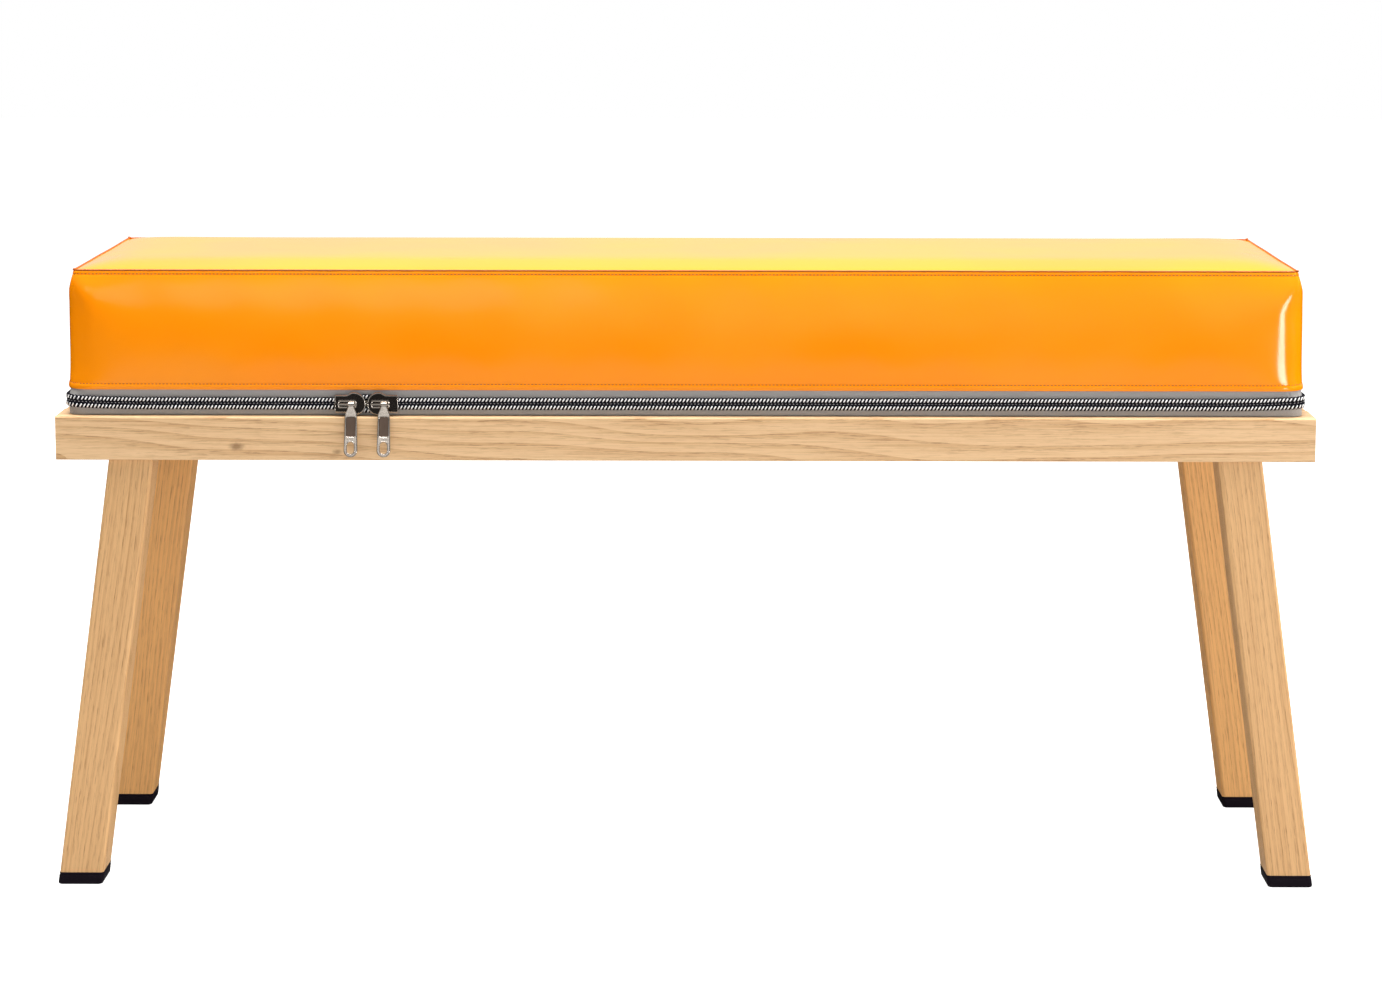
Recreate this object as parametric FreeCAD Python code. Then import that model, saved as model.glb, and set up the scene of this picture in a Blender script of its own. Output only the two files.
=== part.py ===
import FreeCAD, Part
import math
import os

os.makedirs("parts", exist_ok=True)

# Upholstered bench with an oak frame and a zip-off cushion cover.
# Millimetres. The origin is on the floor under the middle of the seat, X runs along the bench,
# -Y is the front and Z is up. Insets are measured inwards from the outside of the frame.

V = FreeCAD.Vector
up = V(0, 0, 1)
along = V(1, 0, 0)
across = V(0, 1, 0)

# Frame
half_length = 500.0
half_depth = 135.0
rail_height = 35.0
rail_depth = 42.0
rail_bottom = 350.0
rail_top = rail_bottom + rail_height
rail_edge_radius = 1.5
rail_dowel_radius = 4.0
rail_dowel_length = 50.0
rail_dowel_spacing = 17.0

# Legs, which lean outwards along X only
leg_size = 35.0
leg_corner_radius = 2.5
leg_lean = math.radians(8.0)
leg_top_outside = 459.0
leg_front_inset = 3.5
foot_height = 10.0
foot_overhang = 0.5
foot_recess_radius = 5.5
foot_recess_depth = 5.0
foot_screw_radius = 2.0
foot_screw_length = 26.0
foot_screw_head_height = 2.0

# Leg fixings, measured along the leg's own axis from the top of the leg
bolt_radius = 4.0
bolt_length = 50.0
bolt_head_radius = 6.5
bolt_head_height = 8.0
bolt_socket_size = 6.0
bolt_seat = 20.0
counterbore_radius = 9.5
washer_radius = 8.4
washer_thickness = 1.6
insert_radius = 5.5
insert_length = 20.0
leg_dowel_radius = 3.0
leg_dowel_offset = 11.5
leg_dowel_length = 27.0
thread_clearance = 0.1
bolt_clearance = 0.5
washer_clearance = 0.3
bolt_hole_depth = 34.0

# Seat board
board_inset = 11.0
board_thickness = 15.0
board_bottom = rail_top + 1.0
board_top = board_bottom + board_thickness
board_screw_radius = 2.2
board_screw_head_radius = 4.4
board_screw_length = 36.0

# Zip: two tapes, two coils, sliders that run along the front
chain_height = rail_top + 10.0
tape_face_inset = 8.1
tape_thickness = 0.6
tape_gap = 2.6
upper_tape_top = chain_height + 21.0
flange_width = 10.0
coil_width = 5.2
coil_thickness = 2.5
staple_thickness = 0.4
staple_width = 1.0
staple_crown = 10.0
staple_leg = 7.0
staple_inset = 14.5
staple_spacing = 75.0
zip_end_gap = 3.0

# Cushion
hem_height = chain_height + 10.7
seam_height = rail_bottom + 150.0
crown_rise = 11.0
end_crown_rise = 15.0   # steeper, so that the dome falls away towards the two ends
crown_spread = 6.0
cover_thickness = 1.0
hem_inset = 7.0
bulge_inset = 5.6
seam_inset = 11.6
corner_radius_at_frame = 19.0
least_corner_radius = 2.0
foam_inset = 15.5
foam_top = seam_height - 12.0
soft_clearance = 0.3

# Sliders and pull tabs
plate_thickness = 1.4
coil_clearance = 0.3
slider_half_length = 12.2
slider_nose_half_width = 9.2
slider_tail_half_width = 7.0
inner_plate_trim = 1.0
flange_thickness = 1.1
post_length = 3.4
post_setback = 4.6
post_half_width = 1.5
bail_length = 15.0
bail_width = 6.6
bail_wall = 1.3
bail_height = 2.0
bail_post_height = 3.3
pin_radius = 0.8
pin_height = 2.5
pull_lean = math.radians(13.5)
pull_thickness = 1.6
pull_length = 42.0
pull_top_half_width = 4.9
pull_tip_half_width = 5.5
pull_neck_half_width = 2.5
pull_neck_length = 4.6
pull_shoulder = 9.0
pull_eye_radius = 1.75
pull_eye_bore = 0.95
pull_hole_half_width = 2.8
pull_hole_length = 9.6
pull_hole_margin = 2.4
pull_panel_depth = 0.35
pull_panel_margin = 1.5
# Middle of each body, the way its nose points, and how far its bail stands from the middle
slider_places = {"left": (-265.6, 1, -2.4), "right": (-240.25, -1, -1.5)}
pull_places = {"left": -264.7, "right": -238.6}


def save(shape, name):
    shape.exportStep("parts/" + name + ".step")


def outline(half_x, half_y, radius, height):
    """A rounded rectangle, level, centred on the Z axis."""
    x, y = half_x - radius, half_y - radius
    edges = []
    for turn, (cx, cy) in enumerate([(x, y), (-x, y), (-x, -y), (x, -y)]):
        start = turn * math.pi / 2
        points = []
        for step in range(3):
            angle = start + step * math.pi / 4
            points.append(V(cx + radius * math.cos(angle), cy + radius * math.sin(angle), height))
        edges.append(Part.Arc(*points).toShape())
    sides = []
    for first, second in zip(edges, edges[1:] + edges[:1]):
        a = first.valueAt(first.LastParameter)
        b = second.valueAt(second.FirstParameter)
        sides.append(Part.makeLine(a, b))
    ordered = []
    for arc, side in zip(edges, sides):
        ordered += [arc, side]
    return Part.Wire(ordered)


def inset_outline(inset, height):
    radius = max(corner_radius_at_frame - inset, least_corner_radius)
    return outline(half_length - inset, half_depth - inset, radius, height)


def slab(inset, bottom, top):
    return Part.Face(inset_outline(inset, bottom)).extrude(up * (top - bottom))


def ring(outer_inset, inner_inset, bottom, top):
    return slab(outer_inset, bottom, top).cut(slab(inner_inset, bottom - 1, top + 1))


def rounded_box(size, corner, radius, edge_axis):
    """A box whose four edges along one axis are rounded."""
    box = Part.makeBox(size.x, size.y, size.z, corner)
    edges = []
    for edge in box.Edges:
        direction = (edge.Vertexes[1].Point - edge.Vertexes[0].Point).normalize()
        if abs(direction.dot(edge_axis)) > 0.99:
            edges.append(edge)
    return box.makeFillet(radius, edges)


def rod(radius, start, length, axis=up):
    return Part.makeCylinder(radius, length, start, axis)


def leg_frame(side, front):
    """Where the middle of a leg's top is, and the direction up along the leg."""
    centre_x = leg_top_outside - leg_size / math.cos(leg_lean) / 2
    centre_y = half_depth - leg_front_inset - leg_size / 2
    axis = V(-side * math.sin(leg_lean), 0, math.cos(leg_lean))
    return V(side * centre_x, front * centre_y, rail_bottom), axis


def leaning_block(side, front, bottom, top, spare):
    """Part of a leg between two levels, its section grown by spare on every side."""
    centre, axis = leg_frame(side, front)
    slope = -axis.x / axis.z
    half_x = leg_size / math.cos(leg_lean) / 2 + spare
    half_y = leg_size / 2 + spare
    foot_x = centre.x + slope * (rail_bottom - bottom)
    section = outline(half_x, half_y, leg_corner_radius + spare, 0)
    section.translate(V(foot_x, centre.y, bottom))
    rise = top - bottom
    return Part.Face(section).extrude(V(-slope * rise, 0, rise))


corners = []
for side_name, side in (("left", -1), ("right", 1)):
    for front_name, front in (("front", -1), ("back", 1)):
        corners.append((front_name + "_" + side_name, side, front))


# Fixings are built first, so that their holes can be cut from what they join

def leg_fixings(side, front):
    """Bolt, washer, insert, dowel, and the holes they need in the rail and the leg."""
    base, axis = leg_frame(side, front)
    inboard = V(-side * math.cos(leg_lean), 0, -math.sin(leg_lean))
    seat = base + axis * bolt_seat
    head_base = seat + axis * washer_thickness
    head = rod(bolt_head_radius, head_base, bolt_head_height, axis)
    reach = bolt_socket_size / math.sqrt(3)
    hexagon = Part.makePolygon([V(reach * math.cos(k * math.pi / 3), reach * math.sin(k * math.pi / 3), 0)
                                for k in range(7)])
    socket = Part.Face(hexagon).extrude(up * bolt_head_height)
    socket_base = head_base + axis * (bolt_head_height / 2)
    socket.Placement = FreeCAD.Placement(socket_base, FreeCAD.Rotation(up, axis))
    shank = rod(bolt_radius, head_base - axis * bolt_length, bolt_length, axis)
    bolt = head.fuse(shank).cut(socket)
    washer = rod(washer_radius, seat, washer_thickness, axis)
    washer = washer.cut(rod(bolt_radius + washer_clearance, seat - axis, washer_thickness + 2, axis))
    insert_base = base - axis * (insert_length + 1)
    insert = rod(insert_radius, insert_base, insert_length, axis)
    insert = insert.cut(rod(bolt_radius + thread_clearance, insert_base - axis, insert_length + 2, axis))
    dowel_base = base + inboard * leg_dowel_offset - axis * (leg_dowel_length - 12)
    dowel = rod(leg_dowel_radius, dowel_base, leg_dowel_length, axis)
    rail_hole = rod(counterbore_radius, seat, 40, axis)
    rail_hole = rail_hole.fuse(rod(bolt_radius + bolt_clearance, base - axis * 5, 30, axis)).fuse(dowel)
    leg_hole = rod(insert_radius, insert_base, insert_length + 10, axis)
    bolt_hole_base = base - axis * bolt_hole_depth
    leg_hole = leg_hole.fuse(rod(bolt_radius + bolt_clearance, bolt_hole_base, bolt_hole_depth, axis))
    leg_hole = leg_hole.fuse(dowel)
    return {"bolt": bolt, "washer": washer, "insert": insert, "dowel": dowel,
            "rail_hole": rail_hole, "leg_hole": leg_hole}


fixings = {name: leg_fixings(side, front) for name, side, front in corners}

rail_dowels = []
for name, side, front in corners:
    for level in (-1, 1):
        x = side * (half_length - rail_depth / 2)
        z = rail_bottom + rail_height / 2 + level * rail_dowel_spacing / 2
        y = front * (half_depth - rail_depth)
        start = V(x, y - rail_dowel_length / 2, z)
        rail_dowels.append(rod(rail_dowel_radius, start, rail_dowel_length, across))

board_screw_spots = []
for x in (-380, -190, 0, 190, 380):
    for front in (-1, 1):
        board_screw_spots.append((x, front * (half_depth - rail_depth / 2)))
for side in (-1, 1):
    board_screw_spots.append((side * (half_length - rail_depth / 2), 0))

board_screws = []
for x, y in board_screw_spots:
    shank = rod(board_screw_radius, V(x, y, board_top - board_screw_length), board_screw_length)
    head_depth = board_screw_head_radius - board_screw_radius
    head = Part.makeCone(board_screw_radius, board_screw_head_radius, head_depth,
                         V(x, y, board_top - head_depth))
    board_screws.append(shank.fuse(head))


def without(shape, tools):
    for tool in tools:
        shape = shape.cut(tool)
    return shape


# Oak frame

for front_name, front in (("front", -1), ("back", 1)):
    near_y = front * half_depth if front < 0 else half_depth - rail_depth
    rail = rounded_box(V(2 * half_length, rail_depth, rail_height),
                       V(-half_length, near_y, rail_bottom), rail_edge_radius, along)
    holes = [fixings[name]["rail_hole"] for name, _, its_front in corners if its_front == front]
    save(without(rail, holes + rail_dowels + board_screws), front_name + "_rail")

for side_name, side in (("left", -1), ("right", 1)):
    near_x = -half_length if side < 0 else half_length - rail_depth
    inner = half_depth - rail_depth
    rail = rounded_box(V(rail_depth, 2 * inner, rail_height),
                       V(near_x, -inner, rail_bottom), rail_edge_radius, across)
    save(without(rail, rail_dowels + board_screws), side_name + "_rail")

foot_screws = []
for name, side, front in corners:
    base, axis = leg_frame(side, front)
    sole = base - axis * (rail_bottom / axis.z)
    head_base = sole + up * (foot_recess_depth - foot_screw_head_height)
    shank = rod(foot_screw_radius, head_base, foot_screw_length)
    head = rod(foot_recess_radius - 1, head_base, foot_screw_head_height)
    foot_screws.append(shank.fuse(head))
    leg = leaning_block(side, front, foot_height, rail_bottom, 0)
    save(leg.cut(fixings[name]["leg_hole"]).cut(shank), "leg_" + name)
    foot = leaning_block(side, front, 0, foot_height, foot_overhang)
    recess = rod(foot_recess_radius, sole - up, foot_recess_depth + 1)
    save(foot.cut(recess).cut(shank), "foot_" + name)

save(Part.makeCompound(foot_screws), "foot_screws")
save(Part.makeCompound(rail_dowels), "frame_dowels")
save(Part.makeCompound([fixings[name]["dowel"] for name, _, _ in corners]), "leg_dowels")
save(Part.makeCompound([fixings[name]["bolt"] for name, _, _ in corners]), "leg_bolts")
save(Part.makeCompound([fixings[name]["washer"] for name, _, _ in corners]), "leg_washers")
save(Part.makeCompound([fixings[name]["insert"] for name, _, _ in corners]), "leg_inserts")
save(Part.makeCompound(board_screws), "board_screws")


# Staples, driven up through the tape's flange into the board

def staple(x, y, direction):
    """One staple, its crown along the given direction."""
    half = staple_crown / 2
    turned = V(-direction.y, direction.x, 0)
    start = V(x, y, rail_top) - direction * half - turned * (staple_width / 2)
    corner_points = [start, start + direction * staple_crown,
                     start + direction * staple_crown + turned * staple_width,
                     start + turned * staple_width]
    crown = Part.Face(Part.makePolygon(corner_points + [start])).extrude(up * staple_thickness)
    shape = crown
    for end in (-1, 1):
        leg_x = V(x, y, rail_top) + direction * (end * (half - staple_width / 2))
        leg = Part.makeBox(staple_width, staple_width, staple_leg,
                           leg_x - V(staple_width / 2, staple_width / 2, 0))
        shape = shape.fuse(leg)
    return shape


staples = []
for step in range(-6, 7):
    for front in (-1, 1):
        staples.append(staple(step * staple_spacing + 12, front * (half_depth - staple_inset), along))
for step in range(-1, 2):
    for side in (-1, 1):
        staples.append(staple(side * (half_length - staple_inset), step * staple_spacing, across))
save(Part.makeCompound(staples), "tape_staples")

board = slab(board_inset, board_bottom, board_top)
save(without(board, board_screws + staples), "seat_board")


# Cushion

def stack(levels):
    """A solid through rounded rectangles, given as (inset, height)."""
    return Part.makeLoft([inset_outline(inset, height) for inset, height in levels], True, False)


def barrel(half_span, half_width, bottom, edge_height, rise, direction):
    """A block whose top is an arc, seen along the given direction."""
    side = V(direction.y, direction.x, 0)
    start = direction * -half_width
    left, right = start - side * half_span, start + side * half_span
    arc = Part.Arc(right + up * edge_height, start + up * (edge_height + rise), left + up * edge_height)
    edges = [Part.makeLine(left + up * edge_height, left + up * bottom),
             Part.makeLine(left + up * bottom, right + up * bottom),
             Part.makeLine(right + up * bottom, right + up * edge_height), arc.toShape()]
    return Part.Face(Part.Wire(edges)).extrude(direction * (2 * half_width))


def crown(inset, bottom, edge_height):
    """A block with a gently domed top, higher in the middle than at its edge."""
    half_x, half_y = half_length - inset, half_depth - inset
    block = slab(inset, bottom, edge_height + crown_rise + 1)
    side_arc = barrel(half_y + crown_spread, half_x + 5, bottom - 1, edge_height, crown_rise, along)
    end_arc = barrel(half_x + crown_spread, half_y + 5, bottom - 1, edge_height, end_crown_rise, across)
    return block.common(side_arc).common(end_arc)


def band_levels(shrink, bottom, top):
    middle = (hem_height + seam_height) / 2
    return [(hem_inset + shrink, bottom), (bulge_inset + shrink, middle), (seam_inset + shrink, top)]


foam = slab(foam_inset, board_top, foam_top)
save(foam, "foam_core")

wadding_gap = cover_thickness + soft_clearance + 0.5
wadding_top = seam_height - 0.4
wadding = stack(band_levels(wadding_gap, hem_height, wadding_top))
wadding = wadding.fuse(crown(seam_inset + wadding_gap, wadding_top - 0.6, wadding_top))
tape_room = ring(0, tape_face_inset + tape_thickness + soft_clearance, hem_height - 1, upper_tape_top + 1)
save(wadding.cut(foam).cut(tape_room), "wadding_wrap")

cover_top = crown(seam_inset, seam_height, seam_height + cover_thickness)
save(cover_top.cut(crown(seam_inset, seam_height - 5, seam_height)), "cover_top")

band = stack(band_levels(0, hem_height, seam_height))
save(band.cut(stack(band_levels(cover_thickness, hem_height, seam_height))), "cover_band")


# Zip

tape_back = tape_face_inset + tape_thickness
save(ring(tape_face_inset, tape_back, chain_height + tape_gap, upper_tape_top), "upper_tape")
lower_tape = ring(tape_face_inset, tape_back, board_bottom, chain_height - tape_gap)
flange = ring(tape_face_inset, tape_face_inset + flange_width, board_bottom - tape_thickness, board_bottom)
save(without(lower_tape.fuse(flange), staples), "lower_tape")

coil_face_inset = tape_face_inset - coil_thickness
post_rooms = []
for middle, nose, _ in slider_places.values():
    room_x = middle + nose * (slider_half_length - post_setback)
    post_rooms.append(Part.makeBox(9.0, 8.0, 2 * post_half_width + 1.0,
                                   V(room_x - 4.5, -half_depth + 2, chain_height - post_half_width - 0.5)))
zip_end = Part.makeBox(zip_end_gap, 20, 4 * coil_width,
                       V(-zip_end_gap / 2, half_depth - 15, chain_height - 2 * coil_width))
for name, bottom in (("upper_coil", chain_height + 0.05), ("lower_coil", chain_height - coil_width - 0.05)):
    coil = ring(coil_face_inset, tape_face_inset, bottom, bottom + coil_width)
    save(without(coil, post_rooms + [zip_end]), name)

tab = rounded_box(V(16, 0.8, 15), V(-8, half_depth - coil_face_inset, chain_height - 7.5), 2, across)
save(tab, "zip_end_tab")


# Sliders: two plates joined by a post at the nose, with a bail that holds the pull's pin

def slider_outline(trim):
    """Seen from the front, nose towards +X, centred on the body; a closed wire in the XZ plane."""
    wide = slider_nose_half_width - trim
    tail = slider_tail_half_width - trim
    nose_x = slider_half_length
    shoulder_x = -slider_half_length * 0.35
    wide_x = slider_half_length * 0.15
    top = [V(-nose_x, 0, tail), V(shoulder_x, 0, tail)]
    upper_curve = Part.BSplineCurve()
    upper_curve.interpolate([V(shoulder_x, 0, tail), V(wide_x, 0, wide), V(nose_x * 0.72, 0, wide * 0.66),
                             V(nose_x, 0, 0)])
    lower_curve = Part.BSplineCurve()
    lower_curve.interpolate([V(nose_x, 0, 0), V(nose_x * 0.72, 0, -wide * 0.66), V(wide_x, 0, -wide),
                             V(shoulder_x, 0, -tail)])
    tail_end = V(-nose_x, 0, -tail)
    edges = [Part.makeLine(*top), upper_curve.toShape(), lower_curve.toShape(),
             Part.makeLine(V(shoulder_x, 0, -tail), tail_end), Part.makeLine(tail_end, top[0])]
    return Part.Wire(edges)


def plate(trim, front_y, back_y):
    wire = slider_outline(trim)
    wire.translate(V(0, front_y, 0))
    return Part.Face(wire).extrude(V(0, back_y - front_y, 0))


def make_slider(middle, nose, bail_shift):
    coil_front = -half_depth + coil_face_inset - coil_clearance
    outer_front = coil_front - plate_thickness
    tape_front = -half_depth + tape_face_inset
    tape_rear = -half_depth + tape_back
    inner_front = tape_rear + coil_clearance
    inner_back = inner_front + plate_thickness
    body = plate(0, outer_front, coil_front)
    rim = plate(0, coil_front, tape_front - 0.4).cut(plate(flange_thickness, coil_front - 1, tape_front))
    mouths = Part.makeBox(60, 10, 2 * (coil_width + 0.5), V(-30, -half_depth, -coil_width - 0.5))
    divided = Part.makeBox(slider_half_length, 10, 2 * (coil_width + 2.7),
                           V(1.0, -half_depth, -coil_width - 2.7))
    rim = rim.cut(mouths).cut(divided)
    body = body.fuse(rim).fuse(plate(inner_plate_trim, inner_front, inner_back))
    post_x = slider_half_length - post_setback
    post = Part.makeBox(post_length, inner_back - outer_front, 2 * post_half_width,
                        V(post_x - post_length / 2, outer_front, -post_half_width))
    body = body.fuse(post)
    wall_front = outer_front - bail_height
    bail = Part.makeBox(bail_length, bail_height, bail_width,
                        V(-bail_length / 2, wall_front, -bail_width / 2))
    slot = Part.makeBox(bail_length - 2 * bail_wall, 10, bail_width - 2 * bail_wall,
                        V(-bail_length / 2 + bail_wall, outer_front - 10, -bail_width / 2 + bail_wall))
    bail = bail.cut(slot)
    for end in (-1, 1):
        corner_x = end * (bail_length / 2 - bail_wall / 2) - bail_wall / 2
        upright = Part.makeBox(bail_wall, bail_post_height, 2 * bail_wall,
                               V(corner_x, outer_front - bail_post_height, -bail_wall))
        bail = bail.fuse(upright)
    pin = rod(pin_radius, V(-bail_length / 2 + 0.3, outer_front - pin_height, 0), bail_length - 0.6, along)
    bail = bail.fuse(pin)
    bail.translate(along * (bail_shift * nose))
    body = body.fuse(bail)
    if nose < 0:
        body = body.mirror(V(0, 0, 0), along)
    body.translate(V(middle, 0, chain_height))
    return body, outer_front - pin_height


def make_pull(middle, pin_y):
    """A flat tab that hangs from the pin, modelled hanging straight down, then leaned outwards."""
    half = pull_thickness / 2
    tip_radius = pull_tip_half_width
    tip_centre = V(0, -half, -(pull_length - tip_radius))
    right_side = [V(pull_neck_half_width, -half, 0), V(pull_neck_half_width, -half, -pull_neck_length),
                  V(pull_top_half_width, -half, -pull_shoulder), tip_centre + V(tip_radius, 0, 0)]
    edges = [Part.makeLine(a, b) for a, b in zip(right_side, right_side[1:])]
    edges.append(Part.Arc(tip_centre + V(tip_radius, 0, 0), tip_centre - V(0, 0, tip_radius),
                          tip_centre - V(tip_radius, 0, 0)).toShape())
    left_side = [V(-p.x, p.y, p.z) for p in reversed(right_side)]
    edges += [Part.makeLine(a, b) for a, b in zip(left_side, left_side[1:])]
    edges.append(Part.makeLine(left_side[-1], right_side[0]))
    tab = Part.Face(Part.Wire(edges)).extrude(V(0, pull_thickness, 0))

    hole_top = -(pull_length - pull_hole_margin - pull_hole_length)
    reach = pull_hole_length / 2 - pull_hole_half_width
    hole_middle = hole_top - pull_hole_length / 2
    hole = Part.makeBox(2 * pull_hole_half_width, 10, 2 * reach,
                        V(-pull_hole_half_width, -5, hole_middle - reach))
    for end in (-1, 1):
        hole = hole.fuse(rod(pull_hole_half_width, V(0, -5, hole_middle + end * reach), 10, across))
    tab = tab.cut(hole)

    panel_top = -pull_shoulder - 1.5
    panel_half = pull_top_half_width - pull_panel_margin
    for face in (-1, 1):
        depth_y = -half - 1 if face < 0 else half - pull_panel_depth
        panel = Part.makeBox(2 * panel_half, 1 + pull_panel_depth, panel_top - hole_top - 4,
                             V(-panel_half, depth_y, hole_top + 4))
        tab = tab.cut(panel)

    eye = rod(pull_eye_radius, V(-pull_neck_half_width, 0, 0), 2 * pull_neck_half_width, along)
    bore = rod(pull_eye_bore, V(-pull_neck_half_width - 1, 0, 0), 2 * pull_neck_half_width + 2, along)
    tab = tab.fuse(eye).cut(bore)
    tab.rotate(V(0, 0, 0), along, -math.degrees(pull_lean))
    tab.translate(V(middle, pin_y, chain_height))
    return tab


for name, (middle, nose, bail_shift) in slider_places.items():
    body, pin_y = make_slider(middle, nose, bail_shift)
    save(body, name + "_slider")
    save(make_pull(pull_places[name], pin_y), name + "_pull")
    print(name, "pin at", round(pin_y, 3), chain_height)
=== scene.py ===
import math

import bpy
import numpy as np
from mathutils import Matrix, Vector


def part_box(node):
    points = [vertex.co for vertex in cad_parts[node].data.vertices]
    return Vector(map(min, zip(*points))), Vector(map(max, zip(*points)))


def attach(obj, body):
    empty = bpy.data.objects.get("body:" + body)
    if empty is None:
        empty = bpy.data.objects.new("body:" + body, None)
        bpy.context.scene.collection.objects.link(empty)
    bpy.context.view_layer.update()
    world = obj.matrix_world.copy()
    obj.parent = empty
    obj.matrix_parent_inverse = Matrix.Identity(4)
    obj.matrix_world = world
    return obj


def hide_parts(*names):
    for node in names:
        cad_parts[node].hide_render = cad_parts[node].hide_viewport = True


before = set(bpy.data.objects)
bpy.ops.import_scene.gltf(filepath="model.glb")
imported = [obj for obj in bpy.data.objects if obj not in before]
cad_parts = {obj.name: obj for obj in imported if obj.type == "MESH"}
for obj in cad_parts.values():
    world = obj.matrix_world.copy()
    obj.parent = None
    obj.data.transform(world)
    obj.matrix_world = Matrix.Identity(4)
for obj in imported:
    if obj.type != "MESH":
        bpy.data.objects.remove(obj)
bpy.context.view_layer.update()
scene = bpy.context.scene
scene.view_settings.view_transform = "Standard"
mm = 0.001
white = (1, 1, 1, 1)

shot = {"place": (0.0215, -2.613, 0.790), "pitch": 7.93, "yaw": 0.384, "roll": 0.046,
        "lens": 82.5, "shiftUp": -160 / 1382}   # the shift is a share of the view's width


def makeCamera():
    data = bpy.data.cameras.new("camera")
    data.lens = shot["lens"]
    data.sensor_width = 36
    data.shift_y = shot["shiftUp"]
    data.clip_end = 60
    camera = bpy.data.objects.new("camera", data)
    camera.location = shot["place"]
    turn = Matrix.Rotation(math.radians(shot["yaw"]), 4, "Z")
    tilt = Matrix.Rotation(math.radians(90 - shot["pitch"]), 4, "X")
    roll = Matrix.Rotation(math.radians(shot["roll"]), 4, "Z")
    camera.rotation_euler = (turn @ tilt @ roll).to_euler()
    scene.collection.objects.link(camera)
    scene.camera = camera


# name, place, aim, width, height, power, and the kind of light it gives; the pull tabs mirror pullLight,
# and rightStrip makes the streak at the front corner
softboxes = (
    ("overhead", (0.0, -0.05, 2.6), (0, 0, 0.3), 3.2, 1.2, 170, "both"),
    ("rightKey", (3.2, -0.9, 0.9), (0, 0, 0.3), 1.3, 1.3, 60, "diffuse"),
    ("frontFill", (0.5, -3.2, 0.9), (0.2, 0, 0.3), 1.8, 1.0, 13, "diffuse"),
    ("pullLight", (-0.56, -2.6, 1.17), (-0.27, -0.13, 0.38), 0.7, 0.5, 1.2, "gloss"),
    ("rightStrip", (1.6, -1.9, 0.24), (0.3, -0.1, 0.24), 0.55, 0.44, 13, "gloss"))


def makeLights():
    for name, place, aim, width, height, power, kind in softboxes:
        data = bpy.data.lights.new(name, "AREA")
        data.shape = "RECTANGLE"
        data.size = width
        data.size_y = height
        data.energy = power
        lamp = bpy.data.objects.new(name, data)
        lamp.location = place
        lamp.rotation_euler = (Vector(aim) - Vector(place)).to_track_quat("-Z", "Y").to_euler()
        lamp.visible_camera = False
        lamp.visible_glossy = kind != "diffuse"
        lamp.visible_diffuse = kind != "gloss"
        scene.collection.objects.link(lamp)


# A node tree, with short ways to add the nodes that the finishes share.
class Net:
    def __init__(self, tree):
        self.nodes = tree.nodes
        self.link = tree.links.new

    # Gives a socket a value or a link from another socket; None leaves it as it is.
    def feed(self, socket, value):
        if isinstance(value, bpy.types.NodeSocket):
            self.link(value, socket)
        elif value is not None:
            socket.default_value = value

    def feedAll(self, node, inputs):
        for label, value in inputs.items():
            self.feed(node.inputs[label], value)
        return node

    def add(self, kind, inputs={}):
        return self.feedAll(self.nodes.new("ShaderNode" + kind), inputs)

    def objectPlace(self):
        return self.add("TexCoord").outputs["Object"]

    def split(self, vector):
        return self.add("SeparateXYZ", {0: vector}).outputs

    def math(self, operation, first, second=None):
        node = self.add("Math", {0: first, 1: second})
        node.operation = operation
        return node.outputs[0]

    def times(self, first, second):
        return self.math("MULTIPLY", first, second)

    # The value's distance above a half, made larger or smaller.
    def aboutHalf(self, value, size):
        return self.times(self.math("SUBTRACT", value, 0.5), size)

    def vectorMath(self, operation, first, inputs, output):
        node = self.nodes.new("ShaderNodeVectorMath")
        node.operation = operation
        self.feedAll(node, {0: first, **inputs})
        return node.outputs[output]

    def blend(self, factor, first, second):
        node = self.add("Mix", {"Factor": factor, "A": first, "B": second})
        return node.outputs["Result"]

    def colours(self, factor, first, second):
        node = self.nodes.new("ShaderNodeMix")
        node.data_type = "RGBA"
        return self.feedAll(node, {0: factor, 6: first, 7: second}).outputs[2]

    def stretch(self, vector, scale):
        return self.add("Mapping", {"Vector": vector, "Scale": scale}).outputs[0]

    def noise(self, vector, scale, detail=2.0, roughness=0.5):
        settings = {"Vector": vector, "Scale": scale, "Detail": detail, "Roughness": roughness}
        return self.add("TexNoise", settings).outputs["Fac"]

    def ramp(self, value, low, high, toLow=0.0, toHigh=1.0):
        node = self.add("MapRange", {"Value": value, "From Min": low, "From Max": high,
                                     "To Min": toLow, "To Max": toHigh})
        node.interpolation_type = "SMOOTHSTEP"
        return node.outputs["Result"]

    def bump(self, shader, height, strength, distance):
        node = self.add("Bump", {"Strength": strength, "Distance": distance, "Height": height})
        self.link(node.outputs["Normal"], shader.inputs["Normal"])

    def group(self, tree, inputs):
        node = self.nodes.new("ShaderNodeGroup")
        node.node_tree = tree
        return self.feedAll(node, inputs).outputs


def makeWorld():
    world = bpy.data.worlds.new("studio")
    scene.world = world
    world.use_nodes = True
    net = Net(world.node_tree)
    background = net.nodes["Background"]
    paths = net.add("LightPath").outputs
    x, y, z = net.split(net.add("TexCoord").outputs["Generated"])
    behind = net.times(net.ramp(y, 0.3, 0.8, 0.0, 0.66), net.ramp(x, -0.6, -0.3))  # a bright backdrop behind
    mirrored = net.math("MAXIMUM", behind, net.ramp(z, 0.12, 0.34, 0.0, 0.2))
    soft = net.blend(paths["Is Glossy Ray"], 0.42, mirrored)
    strength = net.blend(paths["Is Camera Ray"], soft, 1.0)
    net.feedAll(background, {"Color": white, "Strength": strength})


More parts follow.
